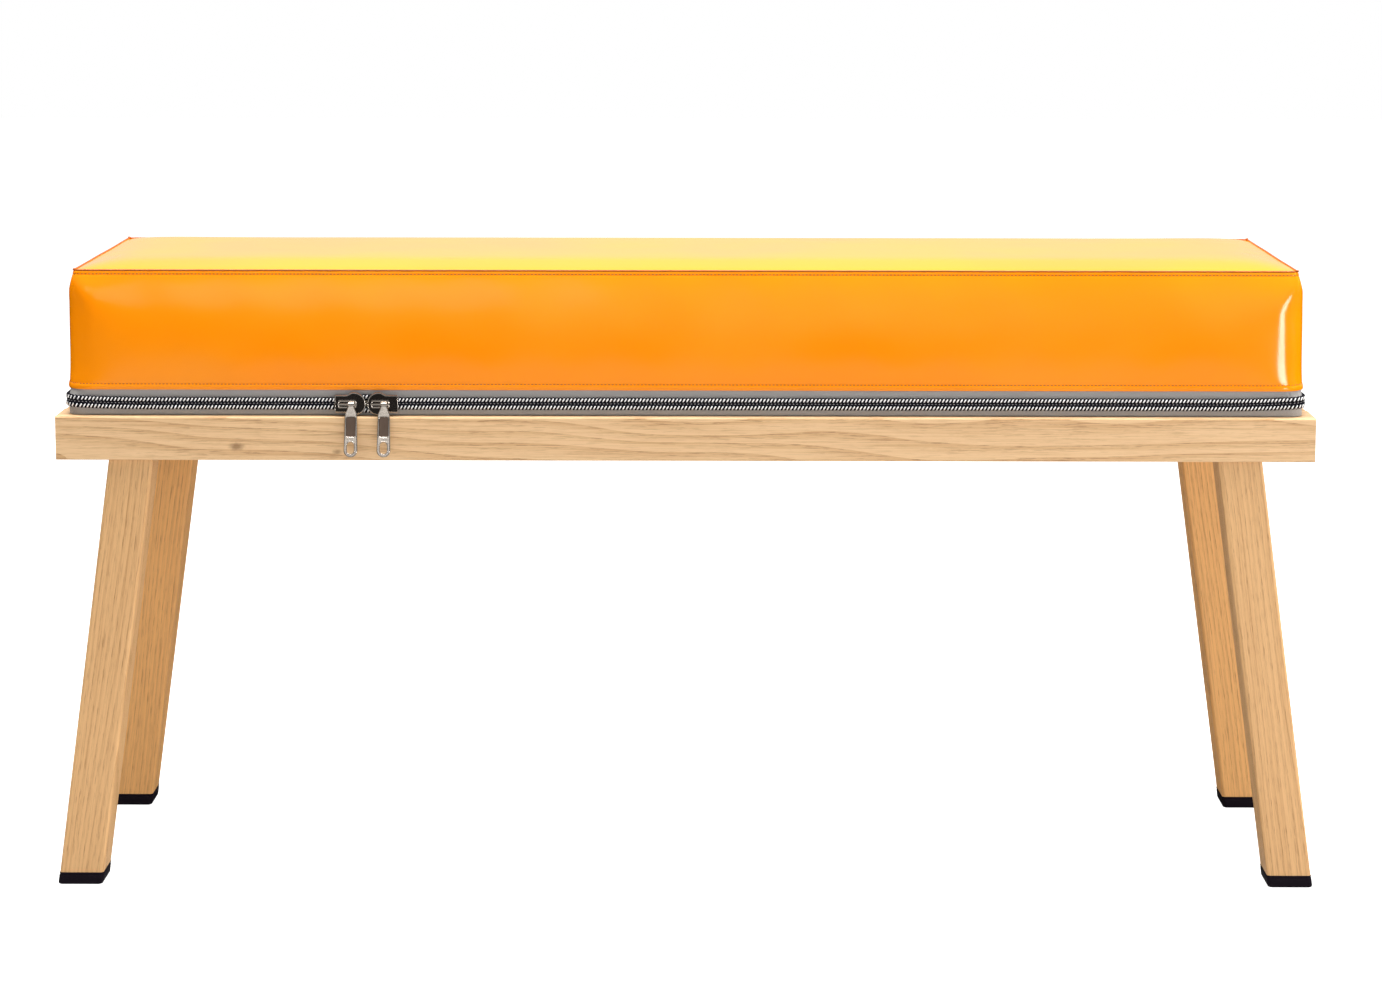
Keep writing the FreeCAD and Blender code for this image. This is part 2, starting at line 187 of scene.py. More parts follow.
def makeStage():
    floor = meshPiece("studioFloor", [(-9, -7, 0), (9, -7, 0), (9, 9, 0), (-9, 9, 0)], [(0, 1, 2, 3)])
    material, shader, net = newMaterial("paleFloor")
    paths = net.add("LightPath").outputs
    x, y = net.split(net.objectPlace())[:2]
    near = net.times(net.ramp(y, -2.9, -2.2), net.ramp(y, -0.2, 0.1, 0.55, 0.0))  # bright patch in front
    near = net.times(near, net.ramp(net.math("ABSOLUTE", x), 0.8, 1.5, 1.0, 0.0))
    glow = net.ramp(paths["Is Camera Ray"], 0.0, 1.0, 0.08, 0.9)
    net.feedAll(shader, {
        "Base Color": net.colours(paths["Is Glossy Ray"], (0.5, 0.5, 0.5, 1), (0, 0, 0, 1)),
        "Roughness": 0.9, "Specular IOR Level": 0.0, "Emission Color": white,
        "Emission Strength": net.blend(paths["Is Glossy Ray"], glow, near)})
    floor.data.materials.append(material)


def meshPiece(name, points, faces, key=None, smooth=False):
    mesh = bpy.data.meshes.new(name)
    mesh.from_pydata([tuple(p) for p in points], [], [tuple(int(i) for i in f) for f in faces])
    mesh.validate()
    mesh.update()
    piece = bpy.data.objects.new(name, mesh)
    scene.collection.objects.link(piece)
    if smooth:
        makeSmooth(piece)
    if key:
        mesh.materials.append(finish[key])
    return piece


def makeSmooth(piece, sharpFrom=None):
    piece.data.polygons.foreach_set("use_smooth", [True] * len(piece.data.polygons))
    if sharpFrom:
        piece.data.set_sharp_from_angle(angle=math.radians(sharpFrom))


# Rides on a body and stands for CAD nodes, which it hides.
def settle(piece, body, slotName, *replaced):
    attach(piece, body)
    if replaced:
        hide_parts(*replaced)


def newMaterial(name):
    material = bpy.data.materials.new(name)
    material.use_nodes = True
    net = Net(material.node_tree)
    return material, net.nodes["Principled BSDF"], net


def newGroup(name, inputs, outputs):
    group = bpy.data.node_groups.new(name, "ShaderNodeTree")
    for label, kind, value in inputs:
        socket = group.interface.new_socket(label, in_out="INPUT", socket_type="NodeSocket" + kind)
        if value is not None:
            socket.default_value = value
    for label, kind in outputs:
        group.interface.new_socket(label, in_out="OUTPUT", socket_type="NodeSocket" + kind)
    net = Net(group)
    return group, net, net.nodes.new("NodeGroupInput").outputs, net.nodes.new("NodeGroupOutput")


# Oak figure: rings about a wandering heart line, open pores and slow changes of tone, along X.
def makeGrainGroup():
    group, net, given, result = newGroup(
        "woodFigure",
        [("Vector", "Vector", None), ("Heart Y", "Float", 0.0), ("Heart Z", "Float", 0.0),
         ("Light", "Color", (0.8, 0.6, 0.4, 1)), ("Dark", "Color", (0.55, 0.35, 0.18, 1)),
         ("Figure", "Float", 0.5)],
        [("Color", "Color"), ("Height", "Float"), ("Pores", "Float")])
    start = given["Vector"]
    sway = net.aboutHalf(net.noise(net.stretch(start, (1.6, 9, 9)), 1.0), 0.05)
    heart = net.add("CombineXYZ", {"Y": net.math("ADD", given["Heart Y"], sway),
                                   "Z": net.math("SUBTRACT", given["Heart Z"], sway)})
    moved = net.vectorMath("SUBTRACT", start, {1: heart.outputs[0]}, 0)
    rings = net.add("TexWave", {"Scale": 70, "Distortion": 3.2, "Detail": 3, "Detail Scale": 0.6,
                                "Vector": net.stretch(moved, (0.03, 1, 1))})
    rings.wave_type = "RINGS"
    rings.rings_direction = "X"
    rings.wave_profile = "SAW"
    ringTone = net.math("POWER", rings.outputs["Fac"], 1.8)
    fibre = net.noise(net.stretch(start, (8, 1000, 1000)), 1.0, 3.0, 0.65)
    poreSeed = net.noise(net.stretch(start, (70, 1900, 1900)), 1.0, 2.0, 0.6)
    inRing = net.math("ADD", net.times(ringTone, 0.8), 0.25)      # oak's pores lie along the early rings
    pores = net.times(net.ramp(poreSeed, 0.53, 0.63), inRing)
    tone = net.noise(net.stretch(start, (2.2, 14, 14)), 1.0, 3.0)
    depth = net.times(ringTone, given["Figure"])
    depth = net.math("ADD", depth, net.aboutHalf(tone, 0.55))
    depth = net.math("ADD", depth, net.aboutHalf(fibre, 1.6))
    depth = net.add("Clamp", {"Value": depth}).outputs[0]
    colour = net.colours(depth, given["Light"], given["Dark"])
    colour = net.colours(net.times(pores, 0.6), colour, (0.27, 0.13, 0.05, 1))
    height = net.math("SUBTRACT", net.times(fibre, 0.4), pores)
    net.feedAll(result, {"Color": colour, "Height": height, "Pores": pores})
    return group


# Fine mottling, as a value about 0.5, with a slow part and a fast part.
def makeSpeckleGroup():
    group, net, given, result = newGroup(
        "fineMottle", [("Vector", "Vector", None), ("Scale", "Float", 100.0)],
        [("Value", "Float"), ("Slow", "Float")])
    scaled = net.vectorMath("SCALE", given["Vector"], {"Scale": given["Scale"]}, 0)
    net.feedAll(result, {"Value": net.noise(scaled, 1.0, 4.0, 0.6), "Slow": net.noise(scaled, 0.08)})
    return group


# Diagonal ribs of a woven tape, from the way round the tape and its height.
def makeTwillGroup():
    group, net, given, result = newGroup(
        "twillRibs", [("Vector", "Vector", None), ("Pitch", "Float", 0.0012)], [("Rib", "Float")])
    x, y, z = net.split(given["Vector"])
    level = net.math("ADD", net.math("ADD", x, y), net.times(z, 1.1))
    turns = net.math("DIVIDE", level, given["Pitch"])
    wave = net.math("SINE", net.times(turns, 2 * math.pi))
    net.feedAll(result, {"Rib": net.ramp(wave, -1.0, 1.0)})
    return group


woodFigure = makeGrainGroup()
fineMottle = makeSpeckleGroup()
twillRibs = makeTwillGroup()
print("shared effects ready")

# the rear legs' oak is a redder, more saturated copy of the leg oak: painted shade under the rail
oak = {"light": (0.72, 0.425, 0.19, 1), "dark": (0.47, 0.235, 0.085, 1), "rail": (0.77, 0.51, 0.275, 1),
       "rearPaintedShade": (0.79, 0.41, 0.14, 1), "figure": 0.5, "legFigure": 0.42, "lean": math.radians(8)}
knots = ({"place": (-0.356, -0.135, 0.361), "size": 3.0 * mm, "depth": 0.7},
         {"place": (-0.276, -0.135, 0.357), "size": 1.9 * mm, "depth": 0.6})


def oakMaterial(name, heart, light, turn=(0, 0, 0), shift=(0, 0, 0), figure=oak["figure"], knots=()):
    material, shader, net = newMaterial(name)
    here = net.objectPlace()
    place = net.add("Mapping")
    place.vector_type = "TEXTURE"
    net.feedAll(place, {"Rotation": turn, "Location": shift, "Vector": here})
    grain = net.group(woodFigure, {"Light": light, "Dark": oak["dark"], "Figure": figure, "Heart Y": heart[0],
                                   "Heart Z": heart[1], "Vector": place.outputs[0]})
    colour = grain["Color"]
    shorter = (0.55, 1, 1)                                        # knots are drawn out along the grain
    for knot in knots:
        centre = tuple(a * b for a, b in zip(knot["place"], shorter))
        reach = net.vectorMath("DISTANCE", net.stretch(here, shorter), {1: centre}, "Value")
        far = net.math("ADD", reach, net.times(net.noise(here, 420), knot["size"] * 0.7))
        mark = net.ramp(far, knot["size"] * 0.6, knot["size"] * 1.9, knot["depth"], 0.0)
        colour = net.colours(mark, colour, (0.20, 0.095, 0.035, 1))
    net.feedAll(shader, {"Base Color": colour, "Roughness": net.ramp(grain["Pores"], 0.0, 1.0, 0.46, 0.72),
                         "Specular IOR Level": 0.32})
    net.bump(shader, grain["Height"], 0.35, 0.00025)
    return material


# A finish with mottled colour and roughness and a fine surface texture.
def plainMaterial(name, colour, roughness, scale, metallic=0.0, spread=0.12, bump=0.15, depth=0.0001,
                  shine=0.5):
    material, shader, net = newMaterial(name)
    mottle = net.group(fineMottle, {"Scale": scale, "Vector": net.objectPlace()})
    darker = tuple(c * (1 - 2 * spread) for c in colour) + (1,)
    rougher = min(1.0, roughness * (1 + spread))
    net.feedAll(shader, {"Base Color": net.colours(mottle["Slow"], darker, (*colour, 1)),
                         "Roughness": net.ramp(mottle["Value"], 0.2, 0.8, roughness * (1 - spread), rougher),
                         "Metallic": metallic, "Specular IOR Level": shine})
    net.bump(shader, mottle["Value"], bump, depth)
    return material


cover = {"colour": (0.98, 0.285, 0.0, 1), "deep": (0.975, 0.265, 0.0, 1), "roughness": 0.16, "grain": 1500}


# Glossy coated fabric: smooth skin with a faint pebble and slow changes of gloss.
def coverMaterial():
    material, shader, net = newMaterial("orangeCover")
    here = net.objectPlace()
    pebble = net.group(fineMottle, {"Scale": cover["grain"], "Vector": here})
    slow = net.noise(net.stretch(here, (7, 7, 11)), 1.0)
    gloss = net.ramp(slow, 0.3, 0.7, cover["roughness"] * 0.8, cover["roughness"] * 1.25)
    net.feedAll(shader, {"Base Color": net.colours(net.ramp(slow, 0.3, 0.7), cover["deep"], cover["colour"]),
                         "Roughness": gloss, "IOR": 1.5})
    net.bump(shader, pebble["Value"], 0.05, 0.00008)
    return material


def tapeMaterial():
    material, shader, net = newMaterial("greyTape")
    here = net.objectPlace()
    rib = net.group(twillRibs, {"Pitch": 0.0011, "Vector": here})["Rib"]
    fuzz = net.group(fineMottle, {"Scale": 2600, "Vector": here})["Value"]
    colour = net.colours(rib, (0.20, 0.185, 0.175, 1), (0.43, 0.405, 0.385, 1))
    colour = net.colours(net.times(fuzz, 0.35), colour, (0.55, 0.53, 0.51, 1))
    net.feedAll(shader, {"Base Color": colour, "Roughness": net.ramp(fuzz, 0.2, 0.8, 0.75, 0.95),
                         "Sheen Weight": 0.25})
    net.bump(shader, net.math("ADD", rib, fuzz), 0.5, 0.0003)
    return material


# name, colour, roughness, scale of its mottling, and whatever else differs
plainFinishes = {
    "plywood": ("birchPlywood", (0.72, 0.58, 0.38), 0.7, 300, {}),
    "beech": ("beechDowel", (0.70, 0.50, 0.32), 0.6, 500, {}),
    "rubber": ("blackRubber", (0.008, 0.004, 0.009), 0.8, 900,
               {"bump": 0.35, "depth": 0.0002, "shine": 0.15}),
    # the orange thread is darkened as painted shade of the stitch holes, and the seam ears take it as painted
    # shade at the corners
    "orangeThread": ("orangeThread", (0.40, 0.085, 0.0), 0.55, 3000, {"bump": 0.4}),
    # the seam fold's dark orange, far below the cover's, is painted shade along the top seam
    "seamFold": ("seamFold", (0.42, 0.095, 0.0), 0.35, 1500, {"bump": 0.2}),
    "coil": ("blackNylon", (0.006, 0.006, 0.012), 0.5, 1800, {"bump": 0.2, "shine": 0.14}),
    "whiteThread": ("whiteThread", (0.95, 0.94, 0.93), 0.6, 3000, {"bump": 0.4}),
    "greyThread": ("greyThread", (0.33, 0.31, 0.32), 0.6, 3000, {"bump": 0.4}),
    "nickel": ("brightNickel", (0.80, 0.71, 0.62), 0.22, 700, {"metallic": 1.0, "spread": 0.2, "bump": 0.06}),
    "darkNickel": ("darkNickel", (0.085, 0.07, 0.06), 0.26, 700,
                   {"metallic": 1.0, "spread": 0.25, "bump": 0.06}),
    "tabPanel": ("brownedNickel", (0.36, 0.25, 0.19), 0.38, 900,
                 {"metallic": 1.0, "spread": 0.2, "bump": 0.12}),
    "zinc": ("zincPlate", (0.66, 0.67, 0.68), 0.35, 900, {"metallic": 1.0}),
    "wadding": ("whiteWadding", (0.88, 0.88, 0.86), 0.95, 220, {"bump": 0.7, "depth": 0.002}),
    "foam": ("creamFoam", (0.86, 0.80, 0.58), 0.95, 1400, {"bump": 0.6, "depth": 0.0006})}


def makeFinishes():
    quarter = math.pi / 2
    made = {key: plainMaterial(*facts, **extra) for key, (*facts, extra) in plainFinishes.items()}
    made["frontOak"] = oakMaterial("oakFrontRail", (-0.04, 0.33), oak["rail"], knots=knots)
    made["backOak"] = oakMaterial("oakBackRail", (0.05, 0.30), oak["rail"], shift=(0.31, 0, 0))
    made["endOak"] = oakMaterial("oakEndRails", (0.03, 0.34), oak["rail"], turn=(0, 0, quarter))
    made["cover"] = coverMaterial()
    made["tape"] = tapeMaterial()
    for side, sign in (("left", -1), ("right", 1)):
        # the back legs take a redder, more saturated copy of the oak, as painted shade under the rail
        for row, heart, light in (("front", (-0.10, 0.02), "light"), ("back", (0.13, 0.03), "rearPaintedShade")):
            made["leg_" + row + "_" + side] = oakMaterial(
                "oakLeg_" + row + "_" + side, heart, oak[light], turn=(0, -quarter - sign * oak["lean"], 0),
                shift=(0.1 * sign, 0, 0.3), figure=oak["legFigure"])
    return made


finish = makeFinishes()
print("finishes ready")


# Gives the carried-over CAD parts their finishes.
def dressFrame():
    plan = {"front_rail": "frontOak", "back_rail": "backOak", "left_rail": "endOak", "right_rail": "endOak",
            "seat_board": "plywood", "foam_core": "foam", "frame_dowels": "beech", "leg_dowels": "beech"}
    for name in ("leg_bolts", "leg_washers", "leg_inserts", "board_screws", "foot_screws", "tape_staples"):
        plan[name] = "zinc"
    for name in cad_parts:
        if name.startswith("leg_") and name in finish:
            plan[name] = name
    for name, key in plan.items():
        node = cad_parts[name]
        node.data.materials.clear()
        node.data.materials.append(finish[key])
    print("frame dressed:", len(plan), "parts")


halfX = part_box("front_rail")[1].x
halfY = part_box("back_rail")[1].y
chainHeight = (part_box("upper_coil")[0].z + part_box("lower_coil")[1].z) / 2
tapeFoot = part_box("lower_tape")[0].z
hemHeight, seamHeight = (corner.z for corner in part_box("cover_band"))


# A rounded rectangle seen from above, measured from the middle of the back, anticlockwise from there.
class Loop:
    def __init__(self, inset, radius, count=2400):
        x, y = halfX - inset - radius, halfY - inset - radius
        pieces = []
        for k, (cx, cy) in enumerate([(-x, y), (-x, -y), (x, -y), (x, y)]):
            angles = math.pi / 2 + k * math.pi / 2 + np.linspace(0, math.pi / 2, 24)
            pieces.append(np.stack([cx + radius * np.cos(angles), cy + radius * np.sin(angles)], 1))
        start = np.array([[0.0, halfY - inset]])
        corners = np.concatenate([start] + pieces + [start])
        steps = np.linalg.norm(np.diff(corners, axis=0), axis=1)
        reach = np.concatenate([[0], np.cumsum(steps)])
        self.length = reach[-1]
        self.s = np.linspace(0, self.length, count)
        self.x = np.interp(self.s, reach, corners[:, 0])
        self.y = np.interp(self.s, reach, corners[:, 1])
        dx, dy = np.gradient(self.x), np.gradient(self.y)
        size = np.hypot(dx, dy)
        self.tx, self.ty = dx / size, dy / size

    # Places, ways along and ways outwards at distances round the loop.
    def at(self, s):
        s = np.asarray(s) % self.length
        x, y = np.interp(s, self.s, self.x), np.interp(s, self.s, self.y)
        tx, ty = np.interp(s, self.s, self.tx), np.interp(s, self.s, self.ty)
        size = np.hypot(tx, ty)
        zero = np.zeros_like(x)
        along = np.stack([tx / size, ty / size, zero], 1)
        outward = np.stack([ty / size, -tx / size, zero], 1)
        return np.stack([x, y, zero], 1), along, outward


# A rounded stick along X with unit half-sizes, as points and faces.
def capsule(rings=(-1.0, -0.72, 0.0, 0.72, 1.0), sides=8):
    points, faces = [(-1.0, 0, 0)], []
    inner = [r for r in rings if abs(r) < 1]
    for r in inner:
        radius = (1 - abs(r) ** 3) ** 0.5
        for k in range(sides):
            angle = 2 * math.pi * k / sides
            points.append((r, radius * math.cos(angle), radius * math.sin(angle)))
    points.append((1.0, 0, 0))
    last = len(points) - 1
    for k in range(sides):
        nextK = (k + 1) % sides
        faces.append((0, 1 + nextK, 1 + k, 1 + k))
        for ring in range(len(inner) - 1):
            a = 1 + ring * sides
            b = a + sides
            faces.append((a + k, a + nextK, b + nextK, b + k))
        end = 1 + (len(inner) - 1) * sides
        faces.append((end + k, end + nextK, last, last))
    return np.array(points), faces


# Copies of a unit shape: half-size half[0] along, half[1] across and half[2] outwards.
def scatter(shape, centres, alongs, acrosses, outs, half):
    points, faces = shape
    count = len(points)
    placed = (centres[:, None, :] + points[None, :, 0:1] * half[0] * alongs[:, None, :]
              + points[None, :, 1:2] * half[1] * acrosses[:, None, :]
              + points[None, :, 2:3] * half[2] * outs[:, None, :])
    allFaces = []
    for k in range(len(centres)):
        for face in faces:
            ring = [i + k * count for i in dict.fromkeys(face)]
            allFaces.append(ring)
    return placed.reshape(-1, 3), allFaces


def scattered(name, key, *placing):
    points, faces = scatter(*placing)
    return meshPiece(name, points, faces, key, smooth=True)


cushion = {"alongCells": 122, "acrossCells": 31,
           "rowHeights": (0, 7, 15, 24, 33, 42, 51, 59, 66, 73, 79, 84.5, 89.5, 94.3),
           "hemRadius": 20 * mm, "sideRadius": 23 * mm, "topRadius": 4 * mm, "crown": 5 * mm,
           "curlReach": 13 * mm, "hemReach": 8 * mm, "roundReach": 34 * mm, "footReach": 11 * mm,
           "frames": 20, "bandCap": 3.4 * mm, "topCap": 1.2 * mm, "hemInset": 7 * mm,
           "middleInset": 7.6 * mm, "seamInset": 14.4 * mm, "skin": 1.0 * mm, "finer": 3,
           "stitchFromSeam": 2.7 * mm, "stitchFromHem": 4.9 * mm, "ridge": 0.35 * mm,
           "hemRoll": 0.55 * mm, "groove": 0.3 * mm, "grooveHalf": 0.6 * mm}


# Points of one level of the cushion: as many on each side as the top panel has cells.
def boxLoop(inset, radius):
    x, y = halfX - inset - radius, halfY - inset - radius
    centres = [(-x, -y), (x, -y), (x, y), (-x, y)]
    points = []
    for k in range(4):
        cells = cushion["alongCells"] if k % 2 == 0 else cushion["acrossCells"]
        (ax, ay), (bx, by) = centres[k], centres[(k + 1) % 4]
        startAngle = -3 * math.pi / 4 + k * math.pi / 2
        straight = math.hypot(bx - ax, by - ay)
        arc = radius * math.pi / 4
        for step in range(cells):
            d = (straight + 2 * arc) * step / cells
            if d < arc:
                angle = startAngle + d / radius
                points.append((ax + radius * math.cos(angle), ay + radius * math.sin(angle)))
            elif d > arc + straight:
                angle = startAngle + math.pi / 4 + (d - arc - straight) / radius
                points.append((bx + radius * math.cos(angle), by + radius * math.sin(angle)))
            else:
                t = (d - arc) / straight
                side = startAngle + math.pi / 4
                px = ax + (bx - ax) * t + radius * math.cos(side)
                py = ay + (by - ay) * t + radius * math.sin(side)
                points.append((px, py))
    return np.array(points)


# A level panel that joins a loop edge to edge, raised in the middle: an array [across][along].
def panelFrom(loop, height, crown):
    nx, ny = cushion["alongCells"], cushion["acrossCells"]
    total = len(loop)
    front = loop[0:nx + 1]
    right = loop[nx:nx + ny + 1]
    back = loop[nx + ny:2 * nx + ny + 1][::-1]
    left = np.concatenate([loop[2 * nx + ny:total], loop[0:1]])[::-1]
    u = np.linspace(0, 1, nx + 1)[None, :, None]
    v = np.linspace(0, 1, ny + 1)[:, None, None]
    flat = ((1 - v) * front[None] + v * back[None] + (1 - u) * left[:, None] + u * right[:, None]
            - (1 - u) * (1 - v) * front[0] - u * (1 - v) * front[-1]
            - (1 - u) * v * back[0] - u * v * back[-1])
    rise = crown * (1 - (2 * u[..., 0] - 1) ** 40) * (1 - (2 * v[..., 0] - 1) ** 8)
    return np.concatenate([flat, (height + rise)[..., None]], 2)


# Slow, fixed unevenness along X and Y, as one number for each point.
def waver(points, size, *waves):
    total = np.zeros(len(points))
    for kx, ky, kz, phase in waves:
        total += np.sin(points[:, 0] * kx + points[:, 1] * ky + points[:, 2] * kz + phase)
    return size * total / len(waves)


# Band rows from the hem up to the seam: an array [row][place round the loop].
def bandStart():
    rows = []
    tall = cushion["rowHeights"][-1] * mm
    for up in cushion["rowHeights"]:
        fromHem, fromSeam = up * mm, tall - up * mm
        curl = math.exp(-(fromSeam / cushion["curlReach"]) ** 1.2)
        inset = cushion["middleInset"] + (cushion["seamInset"] - cushion["middleInset"]) * curl
        inset += (cushion["hemInset"] - cushion["middleInset"]) * math.exp(-fromHem / cushion["hemReach"])
        spread = min(1, fromSeam / cushion["roundReach"])
        spread = spread * spread * (3 - 2 * spread)
        radius = cushion["topRadius"] + (cushion["sideRadius"] - cushion["topRadius"]) * spread
        tuck = math.exp(-(fromHem / cushion["footReach"]) ** 1.5)
        radius -= (cushion["sideRadius"] - cushion["hemRadius"]) * tuck
        loop = boxLoop(inset, radius)
        height = np.full((len(loop), 1), hemHeight + fromHem)
        rows.append(np.concatenate([loop, height], 1))
    return np.array(rows)


# Faces between rows of points: closed joins the ends of each row, and wrapped the last row to the first.
def gridFaces(rows, columns, start=0, closed=False, wrapped=False, flip=False):
    faces = []
    for r in range(rows if wrapped else rows - 1):
        low, high = start + r * columns, start + (r + 1) % rows * columns
        for c in range(columns if closed else columns - 1):
            d = (c + 1) % columns
            face = (low + c, low + d, high + d, high + c)
            faces.append(face[::-1] if flip else face)
    return faces


# Unit vectors, taken along the last axis.
def unit(ways):
    return ways / np.linalg.norm(ways, axis=-1, keepdims=True)


# Point numbers of a panel's grid, where its edge shares the points of a loop.
def panelIndex(loopStart, insideStart):
    nx, ny = cushion["alongCells"], cushion["acrossCells"]
    total = 2 * (nx + ny)
    index = np.zeros((ny + 1, nx + 1), int)
    for c in range(nx + 1):
        index[0, c] = loopStart + c % total
        index[ny, c] = loopStart + (2 * nx + ny - c) % total
    for r in range(ny + 1):
        index[r, nx] = loopStart + (nx + r) % total
        index[r, 0] = loopStart + (total - r) % total
    inside = insideStart + np.arange((ny - 1) * (nx - 1)).reshape(ny - 1, nx - 1)
    index[1:ny, 1:nx] = inside
    return index


# Faces of the closed cushion: its band, its top and, turned over, its base.
def cushionFaces(rows, around, topIndex, baseIndex):
    faces = gridFaces(rows, around, closed=True)
    for index, flip in ((topIndex, False), (baseIndex, True)):
        for r in range(len(index) - 1):
            for c in range(len(index[0]) - 1):
                face = (index[r, c], index[r, c + 1], index[r + 1, c + 1], index[r + 1, c])
                faces.append(face[::-1] if flip else face)
    return faces


fabric = {"quality": 6, "mass": 0.35, "tension_stiffness": 18, "compression_stiffness": 18,
          "shear_stiffness": 8, "bending_stiffness": 2.5, "vertex_group_mass": "held",
          "use_pressure": True, "uniform_pressure_force": 4.5}


# Blows the sewn cover out by cloth simulation, with its seam and hem held, and gives the new points.
def inflate(points, faces, held):
    piece = meshPiece("coverForm", points, faces)
    group = piece.vertex_groups.new(name="held")
    group.add([i for i, weight in enumerate(held) if weight > 0], 1, "REPLACE")
    cloth = piece.modifiers.new("cloth", "CLOTH").settings
    for label, value in fabric.items():
        setattr(cloth, label, value)
    cloth.effector_weights.gravity = 0
    for number in range(1, cushion["frames"] + 1):
        scene.frame_set(number)
    graph = bpy.context.evaluated_depsgraph_get()
    blown = piece.evaluated_get(graph).to_mesh()
    result = np.empty(len(points) * 3)
    blown.vertices.foreach_get("co", result)
    scene.frame_set(1)
    bpy.data.objects.remove(piece)
    return result.reshape(-1, 3)


def capped(start, moved, cap):
    step = moved - start
    size = np.linalg.norm(step, axis=1, keepdims=True)
    return start + step * (cap * np.tanh(size / cap) / np.maximum(size, 1e-9))


# Smooth curve through values along the first axis, read at fractional places.
def catmull(values, spots, closed):
    count = len(values)
    low = np.floor(spots).astype(int)
    t = (spots - low).reshape((-1,) + (1,) * (values.ndim - 1))

    def pick(offset):
        place = low + offset
        return values[place % count] if closed else values[np.clip(place, 0, count - 1)]

    a, b, c, d = pick(-1), pick(0), pick(1), pick(2)
    return b + 0.5 * t * (c - a + t * (2 * a - 5 * b + 4 * c - d + t * (3 * (b - c) + d - a)))


def makeCushion():
    nx, ny = cushion["alongCells"], cushion["acrossCells"]
    band = bandStart()
    rows, around = band.shape[:2]
    uneven = waver(band.reshape(-1, 3), 0.8 * mm, (37, 0, 20, 0.4), (61, 30, 0, 1.7), (95, 60, 55, 2.1))
    band[..., :2] *= 1 + uneven.reshape(rows, around, 1) / 0.3 * np.array([0.3, 1.0])
    top = panelFrom(band[-1][:, :2], seamHeight, cushion["crown"])
    base = panelFrom(band[0][:, :2], hemHeight, 0)
    points = np.concatenate([part.reshape(-1, 3) for part in (band, top[1:ny, 1:nx], base[1:ny, 1:nx])])
    topStart = rows * around
    baseStart = topStart + (nx - 1) * (ny - 1)
    topIndex = panelIndex(topStart - around, topStart)
    baseIndex = panelIndex(0, baseStart)
    faces = cushionFaces(rows, around, topIndex, baseIndex)
    held = np.zeros(len(points))
    held[:around] = 1
    held[topStart - around:topStart] = 1
    held[baseStart:] = 1
    blown = inflate(points, faces, held)
    bandPart = capped(points[:topStart], blown[:topStart], cushion["bandCap"])
    topPart = capped(points[topStart:baseStart], blown[topStart:baseStart], cushion["topCap"])
    points = np.concatenate([bandPart, topPart, points[baseStart:]])
    print("cushion blown out", "")
    makeCover(points[:topStart].reshape(band.shape), points[topIndex], points[baseIndex])


# Where the finished band has rows, counted in coarse rows, close together at seam and hem.
def fineRows():
    tall = cushion["rowHeights"][-1]
    nearHem = [0, 0.5, 1.4, 2.6, 3.7, 4.3, 4.9, 5.5, 6.2, 7.6, 10]
    nearSeam = [11, 8, 6, 4.8, 3.9, 3.3, 2.7, 2.1, 1.6, 1.0, 0.5, 0]
    plain = np.linspace(14, tall - 15, 20)
    heights = np.concatenate([nearHem, plain, tall - np.array(nearSeam)])
    return np.interp(heights, cushion["rowHeights"], np.arange(len(cushion["rowHeights"])))


# How far the band stands out at each height because of its folded, sewn edges.
def bandRelief(heights):
    fromSeam = seamHeight - heights
    fromHem = heights - hemHeight
    seamStitch, hemStitch = cushion["stitchFromSeam"], cushion["stitchFromHem"]
    rolls, dips = [], []
    for size, distance, stitch in (("ridge", fromSeam, seamStitch), ("hemRoll", fromHem, hemStitch)):
        swell = np.clip(np.sin(np.pi * np.clip(distance / stitch, 0, 1)), 0, 1) ** 0.8
        rolls.append(cushion[size] * swell)
        dips.append(np.exp(-((distance - stitch) / cushion["grooveHalf"]) ** 2))
    return sum(rolls) - cushion["groove"] * sum(dips)


# Outward directions of a closed band of points.
def outwardOf(band):
    around = np.roll(band, -1, axis=1) - np.roll(band, 1, axis=1)
    upward = np.gradient(band, axis=0)
    return unit(np.cross(around, upward))


